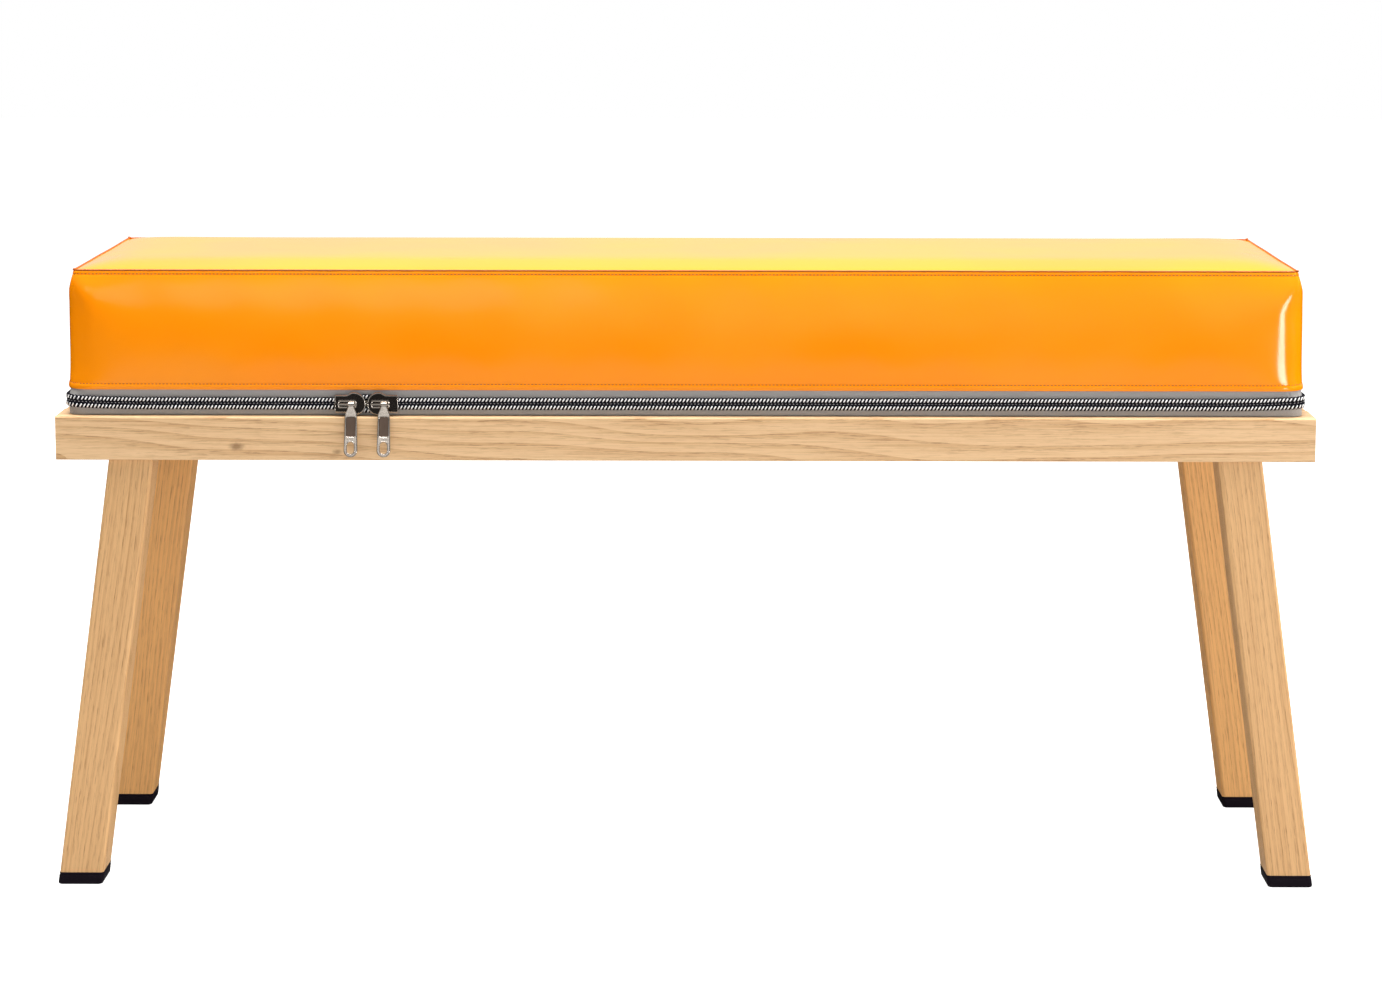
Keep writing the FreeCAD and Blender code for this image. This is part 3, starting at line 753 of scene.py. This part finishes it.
def makeCover(band, top, base):
    nx, ny = cushion["alongCells"], cushion["acrossCells"]
    around = band.shape[1]
    spots = np.arange(around * cushion["finer"]) / cushion["finer"]
    wide = np.swapaxes(catmull(np.swapaxes(band, 0, 1), spots, True), 0, 1)
    fine = catmull(wide, fineRows(), False)
    out = outwardOf(fine)
    finished = fine + out * bandRelief(fine[:, :, 2])[..., None]
    inner = finished - out * cushion["skin"]
    shell = np.concatenate([finished, inner[::-1]])
    count = shell.shape[1]
    faces = gridFaces(len(shell), count, closed=True, wrapped=True)
    sideBand = meshPiece("coverSideBand", shell.reshape(-1, 3), faces, "cover", smooth=True)
    settle(sideBand, "bench", "orange_cover", "cover_band")

    fineTop = catmull(np.swapaxes(catmull(np.swapaxes(top, 0, 1), np.arange(2 * nx + 1) / 2, False), 0, 1),
                      np.arange(2 * ny + 1) / 2, False)
    nRows, nColumns = fineTop.shape[:2]
    under = fineTop - np.array([0, 0, cushion["skin"]])
    points = np.concatenate([fineTop.reshape(-1, 3), under.reshape(-1, 3)])
    faces = gridFaces(nRows, nColumns) + gridFaces(nRows, nColumns, start=nRows * nColumns, flip=True)
    rim = ([c for c in range(nColumns)] + [r * nColumns + nColumns - 1 for r in range(1, nRows)]
           + [(nRows - 1) * nColumns + c for c in range(nColumns - 2, -1, -1)]
           + [r * nColumns for r in range(nRows - 2, 0, -1)])
    for a, b in zip(rim, rim[1:] + rim[:1]):
        faces.append((a, a + nRows * nColumns, b + nRows * nColumns, b))
    topPanel = meshPiece("coverTopPanel", points, faces, "cover", smooth=True)
    settle(topPanel, "bench", "orange_cover", "cover_top")

    makeWadding(band, top, base)
    makeStitching(finished, out)
    makeSeamFold(finished[-1])


# The soft body under the cover, a little smaller all round.
def makeWadding(band, top, base):
    nx, ny = cushion["alongCells"], cushion["acrossCells"]
    rows, around = band.shape[:2]
    shrink = 2.2 * mm
    inner = band - outwardOf(band) * shrink
    inner[-1, :, 2] = seamHeight - 1.5 * mm
    points = np.concatenate([inner.reshape(-1, 3), (top[1:ny, 1:nx] - [0, 0, shrink]).reshape(-1, 3),
                             (base[1:ny, 1:nx] + [0, 0, 0.2 * mm]).reshape(-1, 3)])
    topStart = rows * around
    topIndex = panelIndex(topStart - around, topStart)
    baseIndex = panelIndex(0, topStart + (nx - 1) * (ny - 1))
    faces = cushionFaces(rows, around, topIndex, baseIndex)
    body = meshPiece("waddingBody", points, faces, "wadding", smooth=True)
    settle(body, "bench", "wadding", "wadding_wrap")


seamFold = {"radius": 0.7 * mm, "sink": 0.25 * mm, "ear": (1.7 * mm, 1.0 * mm, 1.1 * mm)}


# The turned-in seam allowance, a thin raised line all round the top, with a pinched ear at each corner. The
# line and the ears are coloured dark orange as painted shade along the seam.
def makeSeamFold(edge):
    middle = edge.mean(axis=0)
    path = edge + (middle - edge) * 0.0012
    path[:, 2] = seamHeight + seamFold["radius"] - seamFold["sink"]
    fold = roundBar("seamFold", path, seamFold["radius"], "seamFold", closed=True)
    makeSmooth(fold)
    settle(fold, "bench", "orange_cover")
    centres, alongs = [], []
    for sx in (-1, 1):
        for sy in (-1, 1):
            corner = edge[np.argmax(edge[:, 0] * sx + edge[:, 1] * sy)]
            centres.append([corner[0], corner[1], seamHeight + 0.9 * mm])
            alongs.append([sx * 0.707, sy * 0.707, 0])
    alongs = np.array(alongs)
    ups = np.tile([0, 0, 1.0], (4, 1))
    acrosses = np.cross(ups, alongs)
    # the ears' dark thread colour is painted shade at the seam corners
    ears = scattered("seamEars", "orangeThread", capsule(), np.array(centres), alongs, acrosses, ups,
                     seamFold["ear"])
    settle(ears, "bench", "orange_cover")


thread = {"pitch": 2.9 * mm, "half": (0.9 * mm, 0.4 * mm, 0.3 * mm), "ahead": 0.4 * mm,
          "standOut": 0.12 * mm}


# Two rows of machine stitches: one under the top seam and one above the hem. Their thread is darkened as
# painted shade of the stitch holes.
def makeStitching(band, out):
    centres, alongs, ups, outs = [], [], [], []
    for height in (seamHeight - cushion["stitchFromSeam"], hemHeight + cushion["stitchFromHem"]):
        row = int(np.argmin(np.abs(band[:, :, 2].mean(axis=1) - height)))
        line = band[row]
        closedLine = np.concatenate([line, line[:1]])
        steps = np.linalg.norm(np.diff(closedLine, axis=0), axis=1)
        reach = np.concatenate([[0], np.cumsum(steps)])
        count = int(reach[-1] / thread["pitch"])
        spots = (np.arange(count) + 0.5) * reach[-1] / count
        closedOut = np.concatenate([out[row], out[row][:1]])
        readings = ((spots, closedLine), (spots + thread["ahead"], closedLine), (spots, closedOut))
        place, ahead, away = (np.stack([np.interp(at, reach, rows[:, k]) for k in range(3)], 1)
                              for at, rows in readings)
        along = unit(ahead - place)
        centres.append(place + away * thread["standOut"])
        alongs.append(along)
        outs.append(away)
        ups.append(np.cross(away, along))
    placing = [np.concatenate(rows) for rows in (centres, alongs, ups, outs)]
    stitches = scattered("coverStitches", "orangeThread", capsule((-1, -0.7, 0.7, 1), 6), *placing,
                         thread["half"])
    settle(stitches, "bench", "orange_cover")
    print("cover stitched:", len(stitches.data.vertices), "points")


zipRun = {"pitch": 2.9 * mm, "faceInset": 8.1 * mm, "cornerRadius": 12 * mm, "endRise": 2.3 * mm,
          "endReach": 75 * mm, "openBy": 2.5 * mm, "openHalfLength": 13 * mm, "tapeThick": 0.6 * mm,
          "tapeGap": 0.4 * mm, "tapeEdge": 2.6 * mm, "chainThick": 2.5 * mm, "flangeThick": 0.55 * mm,
          "flangeDeep": 9 * mm}
openMiddle = (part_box("left_slider")[1].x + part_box("right_slider")[0].x) / 2
chainLoop = Loop(zipRun["faceInset"], zipRun["cornerRadius"])


# Places on the chain's middle line, with its rise near the front and back corners.
def chainPlace(s):
    place, along, outward = chainLoop.at(s)
    fromEnd = halfX - np.abs(place[:, 0])
    rise = np.clip(1 - fromEnd / zipRun["endReach"], 0, 1) ** 2 * zipRun["endRise"]
    place[:, 2] = chainHeight + rise
    fromOpening = (place[:, 0] - openMiddle) / zipRun["openHalfLength"]
    opened = np.where(place[:, 1] < 0, np.clip(1 - fromOpening ** 2, 0, 1), 0)
    return place, along, outward, zipRun["openBy"] * opened


# A strip round the loop; profile(place, outward, opened) gives its corner points, level by level.
def sweep(profile, gap, count=900):
    s = np.linspace(gap / 2, chainLoop.length - gap / 2, count)
    place, _, outward, opened = chainPlace(s)
    rings = profile(place, outward, opened)
    sides = rings.shape[1]
    faces = gridFaces(count, sides, closed=True)
    faces.append(tuple(range(sides))[::-1])
    faces.append(tuple((count - 1) * sides + j for j in range(sides)))
    return rings.reshape(-1, 3), faces


chain = {"gap": 3 * mm, "shift": 0.25, "ribHalf": (2.85 * mm, 1.15 * mm, 1.25 * mm), "ribSlope": 0.34,
         "ribMiddle": 2.55 * mm, "ribOut": 1.25 * mm, "threadOut": 2.4 * mm,
         "threadHalf": (1.8 * mm, 0.62 * mm, 0.55 * mm), "threadSlope": 0.62, "threadMiddle": 2.95 * mm,
         "beadOut": 1.75 * mm, "beadHalf": (0.7 * mm, 0.42 * mm, 0.4 * mm),
         "core": ((0.1, 0.1), (4.6, 0.1), (4.6, 1.2), (0.1, 1.6))}


# One half of the chain: nylon loops side by side on a core, and the white threads that hold them.
def makeCoil(sign, name):
    gap = chain["gap"]
    count = int((chainLoop.length - gap) / zipRun["pitch"])
    steps = np.arange(count) + 0.5 + chain["shift"] * sign
    s = gap / 2 + steps * (chainLoop.length - gap) / (count + 1)
    place, along, outward, opened = chainPlace(s)
    up = np.tile(np.array([[0, 0, 1.0]]), (count, 1))
    rib = unit(up * sign + along * chain["ribSlope"])
    middle = place + up * (sign * (chain["ribMiddle"] + opened))[:, None] + outward * chain["ribOut"]
    ribPoints, ribFaces = scatter(capsule((-1.0, -0.84, 0.0, 0.84, 1.0)), middle, rib,
                                  np.cross(outward, rib), outward, chain["ribHalf"])

    def core(place, outward, opened):
        corners = []
        for across, out in chain["core"]:
            lift = np.zeros((len(place), 3))
            lift[:, 2] = sign * (across * mm + opened)
            corners.append(place + lift + outward * out * mm)
        return np.stack(corners, 1)

    corePoints, coreFaces = sweep(core, gap)
    faces = ribFaces + [[i + len(ribPoints) for i in face] for face in coreFaces]
    coil = meshPiece(name + "CoilTeeth", np.concatenate([ribPoints, corePoints]), faces, "coil", smooth=True)
    settle(coil, "bench", "black_coil", name + "_coil")

    lean = unit(up + along * chain["threadSlope"])
    middle = place + up * (sign * (chain["threadMiddle"] + opened))[:, None] + outward * chain["threadOut"]
    threads = scattered(name + "CoilThreads", "whiteThread", capsule((-1, -0.6, 0.6, 1), 6), middle, lean,
                        np.cross(outward, lean), outward, chain["threadHalf"])
    settle(threads, "bench", "black_coil")
    if sign > 0:
        shut = scattered("chainMiddleBeads", "greyThread", capsule((-1, -0.5, 0.5, 1), 6),
                         place + outward * chain["beadOut"], along, up, outward, chain["beadHalf"])
        settle(shut, "bench", "black_coil")
    return count


# A woven tape that stands behind the chain; heights are measured from the chain's middle.
def makeTape(name, lower, upper, hidden):
    hem = Loop(cushion["hemInset"] + cushion["skin"] + 0.2 * mm, cushion["hemRadius"])

    # Follows the chain along one edge, and the hem's rounder corners or the board along the other.
    def strip(place, outward, opened):
        far = hem.at(np.linspace(0, 1, len(place)) * hem.length * 0.99999)[0] if upper > 0 else place
        edges = []
        for level, depth in ((lower, 0.0), (upper, 0.0), (upper, 1.0), (lower, 1.0)):
            byChain = abs(level) < 4 * mm
            corner = place.copy() if byChain else far.copy()
            corner[:, 2] = place[:, 2] + np.sign(level) * opened if byChain else chainHeight
            corner[:, 2] += level
            edges.append(corner - outward * depth * zipRun["tapeThick"])
        return np.stack(edges, 1)

    points, faces = sweep(strip, zipRun["tapeGap"], 700)
    tape = meshPiece(name + "TwillTape", points, faces, "tape")
    settle(tape, "bench", "grey_tape", name + "_tape")
    if hidden:
        halfGap = zipRun["tapeGap"] / 2
        place, _, outward = chainLoop.at(np.linspace(halfGap, chainLoop.length - halfGap, 500))
        rings = []
        deep, thick = zipRun["flangeDeep"], zipRun["flangeThick"]
        for depth, height in ((0, 0), (0, thick), (deep, thick), (deep, 0)):
            corner = place - outward * depth
            corner[:, 2] = tapeFoot + height
            rings.append(corner)
        grid = np.stack(rings, 1)
        faces = gridFaces(len(grid), 4, closed=True) + [(3, 2, 1, 0)]
        faces.append(tuple((len(grid) - 1) * 4 + j for j in range(4)))
        piece = meshPiece("lowerTapeFlange", grid.reshape(-1, 3), faces, "tape")
        settle(piece, "bench", "grey_tape")


def makeZip():
    makeTape("upper", zipRun["tapeEdge"], hemHeight + 2.5 * mm - chainHeight, False)
    makeTape("lower", tapeFoot - chainHeight + 0.3 * mm, -zipRun["tapeEdge"], True)
    teeth = makeCoil(1, "upper") + makeCoil(-1, "lower")
    low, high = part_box("zip_end_tab")
    rounded = softBlock("zipEndTab", low, high, 1.6 * mm, 0.3 * mm, "cover")
    settle(rounded, "bench", "orange_cover", "zip_end_tab")
    print("zip made:", teeth, "teeth")


# A flat patch facing back with rounded corners and soft edges.
def softBlock(name, low, high, cornerRadius, edge, key):
    middle = (low + high) / 2
    half = (high - low) / 2
    outline = roundedOutline(half.x, half.z, cornerRadius)
    piece = flatPart(name, [outline], high.y - low.y, edge, key)
    place = Matrix.Translation(middle) @ Matrix.Rotation(math.pi / 2, 4, "X")
    piece.data.transform(place)
    return piece


def roundedOutline(halfA, halfB, radius, steps=6):
    points = []
    for k, (sx, sy) in enumerate([(1, 1), (-1, 1), (-1, -1), (1, -1)]):
        for j in range(steps + 1):
            angle = k * math.pi / 2 + j * math.pi / 2 / steps
            points.append((sx * (halfA - radius) + radius * math.cos(angle),
                           sy * (halfB - radius) + radius * math.sin(angle)))
    return points


# Turns a curve into a mesh piece.
def curvePiece(name, data, key):
    holder = bpy.data.objects.new(name, data)
    scene.collection.objects.link(holder)
    graph = bpy.context.evaluated_depsgraph_get()
    graph.update()
    mesh = bpy.data.meshes.new_from_object(holder.evaluated_get(graph))
    bpy.data.objects.remove(holder)
    piece = bpy.data.objects.new(name, mesh)
    scene.collection.objects.link(piece)
    mesh.materials.clear()
    mesh.materials.append(finish[key])
    return piece


# A plate cut to outlines, the first being its outside and the rest holes, with rounded edges.
def flatPart(name, outlines, thickness, edge, key, resolution=3):
    data = bpy.data.curves.new(name, "CURVE")
    data.dimensions = "2D"
    data.fill_mode = "BOTH"
    data.extrude = thickness / 2 - edge
    data.bevel_depth = edge
    data.bevel_resolution = resolution
    data.offset = -edge
    for outline in outlines:
        spline = data.splines.new("POLY")
        spline.points.add(len(outline) - 1)
        for point, (x, y) in zip(spline.points, outline):
            point.co = (x, y, 0, 1)
        spline.use_cyclic_u = True
    piece = curvePiece(name, data, key)
    makeSmooth(piece, 35)
    return piece


# Joins meshes into one piece that keeps each part's material.
def joinInto(name, parts):
    points, faces, owners, materials = [], [], [], []
    for part in parts:
        start = len(points)
        world = part.matrix_world
        points += [tuple(world @ v.co) for v in part.data.vertices]
        if part.data.materials[0] not in materials:
            materials.append(part.data.materials[0])
        number = materials.index(part.data.materials[0])
        for polygon in part.data.polygons:
            faces.append([start + i for i in polygon.vertices])
            owners.append(number)
        bpy.data.objects.remove(part)
    piece = meshPiece(name, points, faces)
    for material in materials:
        piece.data.materials.append(material)
    piece.data.polygons.foreach_set("material_index", owners)
    makeSmooth(piece, 38)
    return piece


# A bar of round section along a path of points.
def roundBar(name, path, radius, key, closed=False):
    data = bpy.data.curves.new(name, "CURVE")
    data.dimensions = "3D"
    data.bevel_depth = radius
    data.bevel_resolution = 2
    data.use_fill_caps = not closed
    spline = data.splines.new("POLY")
    spline.points.add(len(path) - 1)
    for point, place in zip(spline.points, path):
        point.co = (*place, 1)
    spline.use_cyclic_u = closed
    return curvePiece(name, data, key)


slider = {"plate": 1.4 * mm, "tail": 7.0 * mm, "wide": 9.2 * mm, "edge": 0.45 * mm,
          "bailLength": 15 * mm, "bailWidth": 6.6 * mm, "bailBar": 0.75 * mm, "pin": 0.8 * mm,
          "clearance": 0.3 * mm, "bailRise": 1.25 * mm, "pinRise": 2.5 * mm, "ear": 1.05 * mm,
          "flange": 2.3 * mm, "platform": 0.5 * mm, "rim": 0.5 * mm,
          "bailShift": {"left": -2.4 * mm, "right": -1.5 * mm}}


# Seen from the front with the nose towards +X: a shield with a square tail.
def sliderOutline(half, trim=0.0):
    wide, tail = slider["wide"] - trim, slider["tail"] - trim
    nose = half - trim
    points = []
    steps = 26
    for k in range(steps + 1):
        t = k / steps
        x = -0.30 * half + t * (nose + 0.30 * half)
        swell = tail + (wide - tail) * math.sin(math.pi / 2 * min(t / 0.38, 1)) ** 2
        fall = 1 if t < 0.38 else math.sqrt(max(0.0, 1 - ((t - 0.38) / 0.62) ** 2.2))
        points.append((x, swell * fall))
    upper = [(-half + 0.6 * mm, tail)] + points
    lower = [(x, -z) for x, z in reversed(upper)][1:]
    tailEnd = [(-half, -tail + 0.6 * mm), (-half, tail - 0.6 * mm)]
    return upper + lower + tailEnd


# Turns a plate drawn in X and Y so that it stands facing the front, at a depth y.
def standing(piece, y, mirror=1, x=0.0, z=0.0):
    turn = Matrix.Rotation(math.pi / 2, 4, "X")
    flip = Matrix.Diagonal((mirror, 1, 1, 1))
    piece.data.transform(Matrix.Translation((x, y, z)) @ turn @ flip)
    if mirror < 0:
        piece.data.flip_normals()
    return piece


def makeSlider(side, nose):
    low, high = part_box(side + "_slider")
    middleX = (low.x + high.x) / 2
    half = (high.x - low.x) / 2
    coilFront = -halfY + zipRun["faceInset"] - zipRun["chainThick"] - slider["clearance"]
    outerFront = coilFront - slider["plate"]
    parts = []

    def plate(name, outline, thickness, edge, key, y, mirror=nose, x=0.0, z=0.0):
        parts.append(standing(flatPart(name, [outline], thickness, edge, key), y, mirror, x, z))

    def bar(name, path, radius, closed=False):
        parts.append(roundBar(name, path, radius, "nickel", closed))

    plate("frontPlate", sliderOutline(half), slider["plate"], slider["edge"], "darkNickel",
          coilFront - slider["plate"] / 2)
    rimPath = [(nose * x, outerFront + 0.25 * mm, z) for x, z in sliderOutline(half, slider["rim"])]
    bar("frontRim", rimPath, slider["rim"], closed=True)
    plate("rearPlate", sliderOutline(half, 1.0 * mm), slider["plate"] * 0.95, 0.35 * mm, "darkNickel",
          high.y - slider["plate"] / 2)
    for z in (-1, 1):
        plate("flange", roundedOutline(half * 0.32, 0.5 * mm, 0.35 * mm), slider["flange"], 0.15 * mm,
              "nickel", coilFront + slider["flange"] / 2, x=-nose * half * 0.64,
              z=z * (slider["tail"] - 0.6 * mm))
    plate("post", roundedOutline(1.7 * mm, 1.4 * mm, 0.8 * mm), high.y - outerFront - 0.4 * mm, 0.15 * mm,
          "darkNickel", (outerFront + high.y) / 2, x=nose * (half - 4.6 * mm))

    # the bail: a rectangular loop on a low platform, with the pin along its middle
    bailX = slider["bailShift"][side]
    bailHalf, bailSide = slider["bailLength"] / 2, slider["bailWidth"] / 2
    plate("platform", roundedOutline(bailHalf, bailSide, 1.2 * mm), 1.1 * mm, 0.3 * mm, "darkNickel",
          outerFront - slider["platform"] / 2, mirror=1, x=bailX)
    ring = roundedOutline(bailHalf - slider["bailBar"], bailSide - slider["bailBar"], 0.8 * mm)
    loop = [(bailX + x, outerFront - slider["bailRise"], z) for x, z in ring]
    bar("bailLoop", loop, slider["bailBar"], closed=True)
    pinDepth = outerFront - slider["pinRise"]
    for end in (-1, 1):
        x = bailX + end * (bailHalf - 0.9 * mm)
        bar("ear", [(x, outerFront, 0), (x, pinDepth - 0.35 * mm, 0)], slider["ear"])
    reach = bailHalf - 0.5 * mm
    bar("pin", [(bailX - reach, pinDepth, 0), (bailX + reach, pinDepth, 0)], slider["pin"])
    piece = joinInto(side + "SliderBody", parts)
    piece.data.transform(Matrix.Translation((middleX, 0, chainHeight)))
    settle(piece, side + "_slider", "nickel", side + "_slider")
    return pinDepth


pull = {"length": 42 * mm, "topHalf": 4.9 * mm, "tipHalf": 5.5 * mm, "neckHalf": 2.5 * mm,
        "shoulder": 9 * mm, "thick": 1.6 * mm, "edge": 0.72 * mm, "holeHalf": 2.8 * mm,
        "holeLength": 9.6 * mm, "margin": 2.4 * mm, "lean": math.radians(13.5), "eye": 1.7 * mm,
        "bore": 0.98 * mm, "soft": 0.25 * mm, "panelDrop": 1.2 * mm, "panelGap": 4.2 * mm,
        "rimWide": 1.5 * mm, "beadDrop": 1.9 * mm, "beadPitch": 2.2 * mm}


# The tab seen from the front, hanging down from the pin at the origin.
def pullOutline():
    tipY = -(pull["length"] - pull["tipHalf"])
    right = []
    for k in range(13):
        t = k / 12
        eased = t * t * (3 - 2 * t)
        right.append((pull["neckHalf"] + (pull["topHalf"] - pull["neckHalf"]) * eased,
                      -1.0 * mm - t * (pull["shoulder"] - 1.0 * mm)))
    for k in range(25):
        angle = -k * math.pi / 24
        right.append((pull["tipHalf"] * math.cos(angle), tipY + pull["tipHalf"] * math.sin(angle)))
    left = [(-x, y) for x, y in reversed(right[:13])]
    return right + left


def stadium(halfWidth, length, middleY, steps=10):
    reach = length / 2 - halfWidth
    points = []
    for end, start in ((1, 0), (-1, math.pi)):
        for k in range(steps + 1):
            angle = start + k * math.pi / steps
            y = middleY + end * reach + halfWidth * math.sin(angle)
            points.append((halfWidth * math.cos(angle), y))
    return points


def makePull(side, pinDepth):
    low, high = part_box(side + "_pull")
    middleX = (low.x + high.x) / 2
    holeMiddle = -(pull["length"] - pull["margin"] - pull["holeLength"] / 2)
    panelTop = -pull["shoulder"] - pull["panelDrop"]
    panelBottom = holeMiddle + pull["holeLength"] / 2 + pull["panelGap"]
    panelHalf = pull["topHalf"] - pull["rimWide"]
    panel = [(x, y + (panelTop + panelBottom) / 2) for x, y in
             roundedOutline(panelHalf, (panelTop - panelBottom) / 2, 1.2 * mm)]
    hole = stadium(pull["holeHalf"], pull["holeLength"], holeMiddle)
    parts = [flatPart("tabRim", [pullOutline(), hole, panel], pull["thick"], pull["edge"], "nickel", 4)]
    wall = [(x * 1.04, y) for x, y in panel]
    parts.append(flatPart("tabPanel", [wall], 0.9 * mm, 0.1 * mm, "tabPanel"))
    lip = [stadium(pull["holeHalf"] + wide, pull["holeLength"] + 2 * wide, holeMiddle)
           for wide in (0.85 * mm, 0.05 * mm)]
    parts.append(flatPart("holeLip", lip, pull["thick"] + 0.5 * mm, 0.28 * mm, "nickel"))
    for k in range(3):
        bead = stadium(0.42 * mm, 0.9 * mm, panelBottom - pull["beadDrop"])
        dot = flatPart("tabBead", [bead], pull["thick"] + 0.45 * mm, 0.2 * mm, "nickel")
        dot.data.transform(Matrix.Translation(((k - 1) * pull["beadPitch"], 0, 0)))
        parts.append(dot)
    for part in parts:
        standing(part, 0)
    parts.append(eyeTube(pull["neckHalf"]))
    piece = joinInto(side + "PullTab", parts)
    lean = Matrix.Rotation(-pull["lean"], 4, "X")
    piece.data.transform(Matrix.Translation((middleX, pinDepth, chainHeight)) @ lean)
    settle(piece, side + "_pull", "nickel", side + "_pull")


# The rolled eye at the top of the tab, round the pin.
def eyeTube(halfWidth):
    count = 24
    profile = [(pull["bore"], -halfWidth), (pull["eye"] - pull["soft"], -halfWidth),
               (pull["eye"], -halfWidth + pull["soft"]), (pull["eye"], halfWidth - pull["soft"]),
               (pull["eye"] - pull["soft"], halfWidth), (pull["bore"], halfWidth)]
    points = []
    for k in range(count):
        angle = 2 * math.pi * k / count
        points += [(x, r * math.cos(angle), r * math.sin(angle)) for r, x in profile]
    faces = gridFaces(count, len(profile), closed=True, wrapped=True)
    return meshPiece("tabEye", points, faces, "nickel", smooth=True)


foot = {"levels": ((0.0, 1.2), (0.5, 0.35), (1.4, 0.0), (7.6, 0.0), (8.1, 0.45), (8.6, 0.45), (9.0, 0.0),
                   (9.7, 0.1), (10.0, 0.5)), "radius": 3.4 * mm, "recess": 5.5 * mm}


# A moulded pad that follows the leg's lean, with a small groove round it and the screw's recess.
def makeFoot(name):
    low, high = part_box(name)
    side = 1 if low.x > 0 else -1
    tall = high.z - low.z
    shear = math.tan(oak["lean"]) * tall
    halfA = (high.x - low.x - shear) / 2
    halfB = (high.y - low.y) / 2
    soleX = high.x - halfA if side > 0 else low.x + halfA
    middleY = (low.y + high.y) / 2
    points = []
    for level, inset in foot["levels"]:
        outline = roundedOutline(halfA - inset * mm, halfB - inset * mm, foot["radius"] - inset * mm * 0.5)
        count = len(outline)
        shift = soleX - side * math.tan(oak["lean"]) * level * mm
        points += [(x + shift, y + middleY, low.z + level * mm) for x, y in outline]
    faces = gridFaces(len(foot["levels"]), count, closed=True)
    faces.append(tuple((len(foot["levels"]) - 1) * count + j for j in range(count)))
    start = len(points)
    hole = foot["recess"]
    for radius, height in ((hole + 0.5 * mm, 0.0), (hole, 0.4 * mm), (hole, 5 * mm)):
        for j in range(count):
            x, y = points[j][0] - soleX, points[j][1] - middleY
            size = math.hypot(x, y)
            points.append((soleX + x / size * radius, middleY + y / size * radius, low.z + height))
    ringFaces = [[j, (j + 1) % count, start + (j + 1) % count, start + j] for j in range(count)]
    faces += [face[::-1] for face in ringFaces]
    faces += [face[::-1] for face in gridFaces(3, count, start=start, closed=True)]
    faces.append(tuple(start + 2 * count + j for j in range(count))[::-1])
    camelName = "rubberFoot_" + name[len("foot_"):]
    piece = meshPiece(camelName, points, faces, "rubber")
    makeSmooth(piece, 40)
    settle(piece, "bench", "black_rubber", name)


makeCamera()
makeLights()
makeWorld()
makeStage()
dressFrame()
makeCushion()
makeZip()
for side, nose in (("left", 1), ("right", -1)):
    pinDepth = makeSlider(side, nose)
    makePull(side, pinDepth)
print("sliders and pull tabs made")
for name in list(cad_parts):
    if name.startswith("foot_") and name != "foot_screws":
        makeFoot(name)
print("feet made")
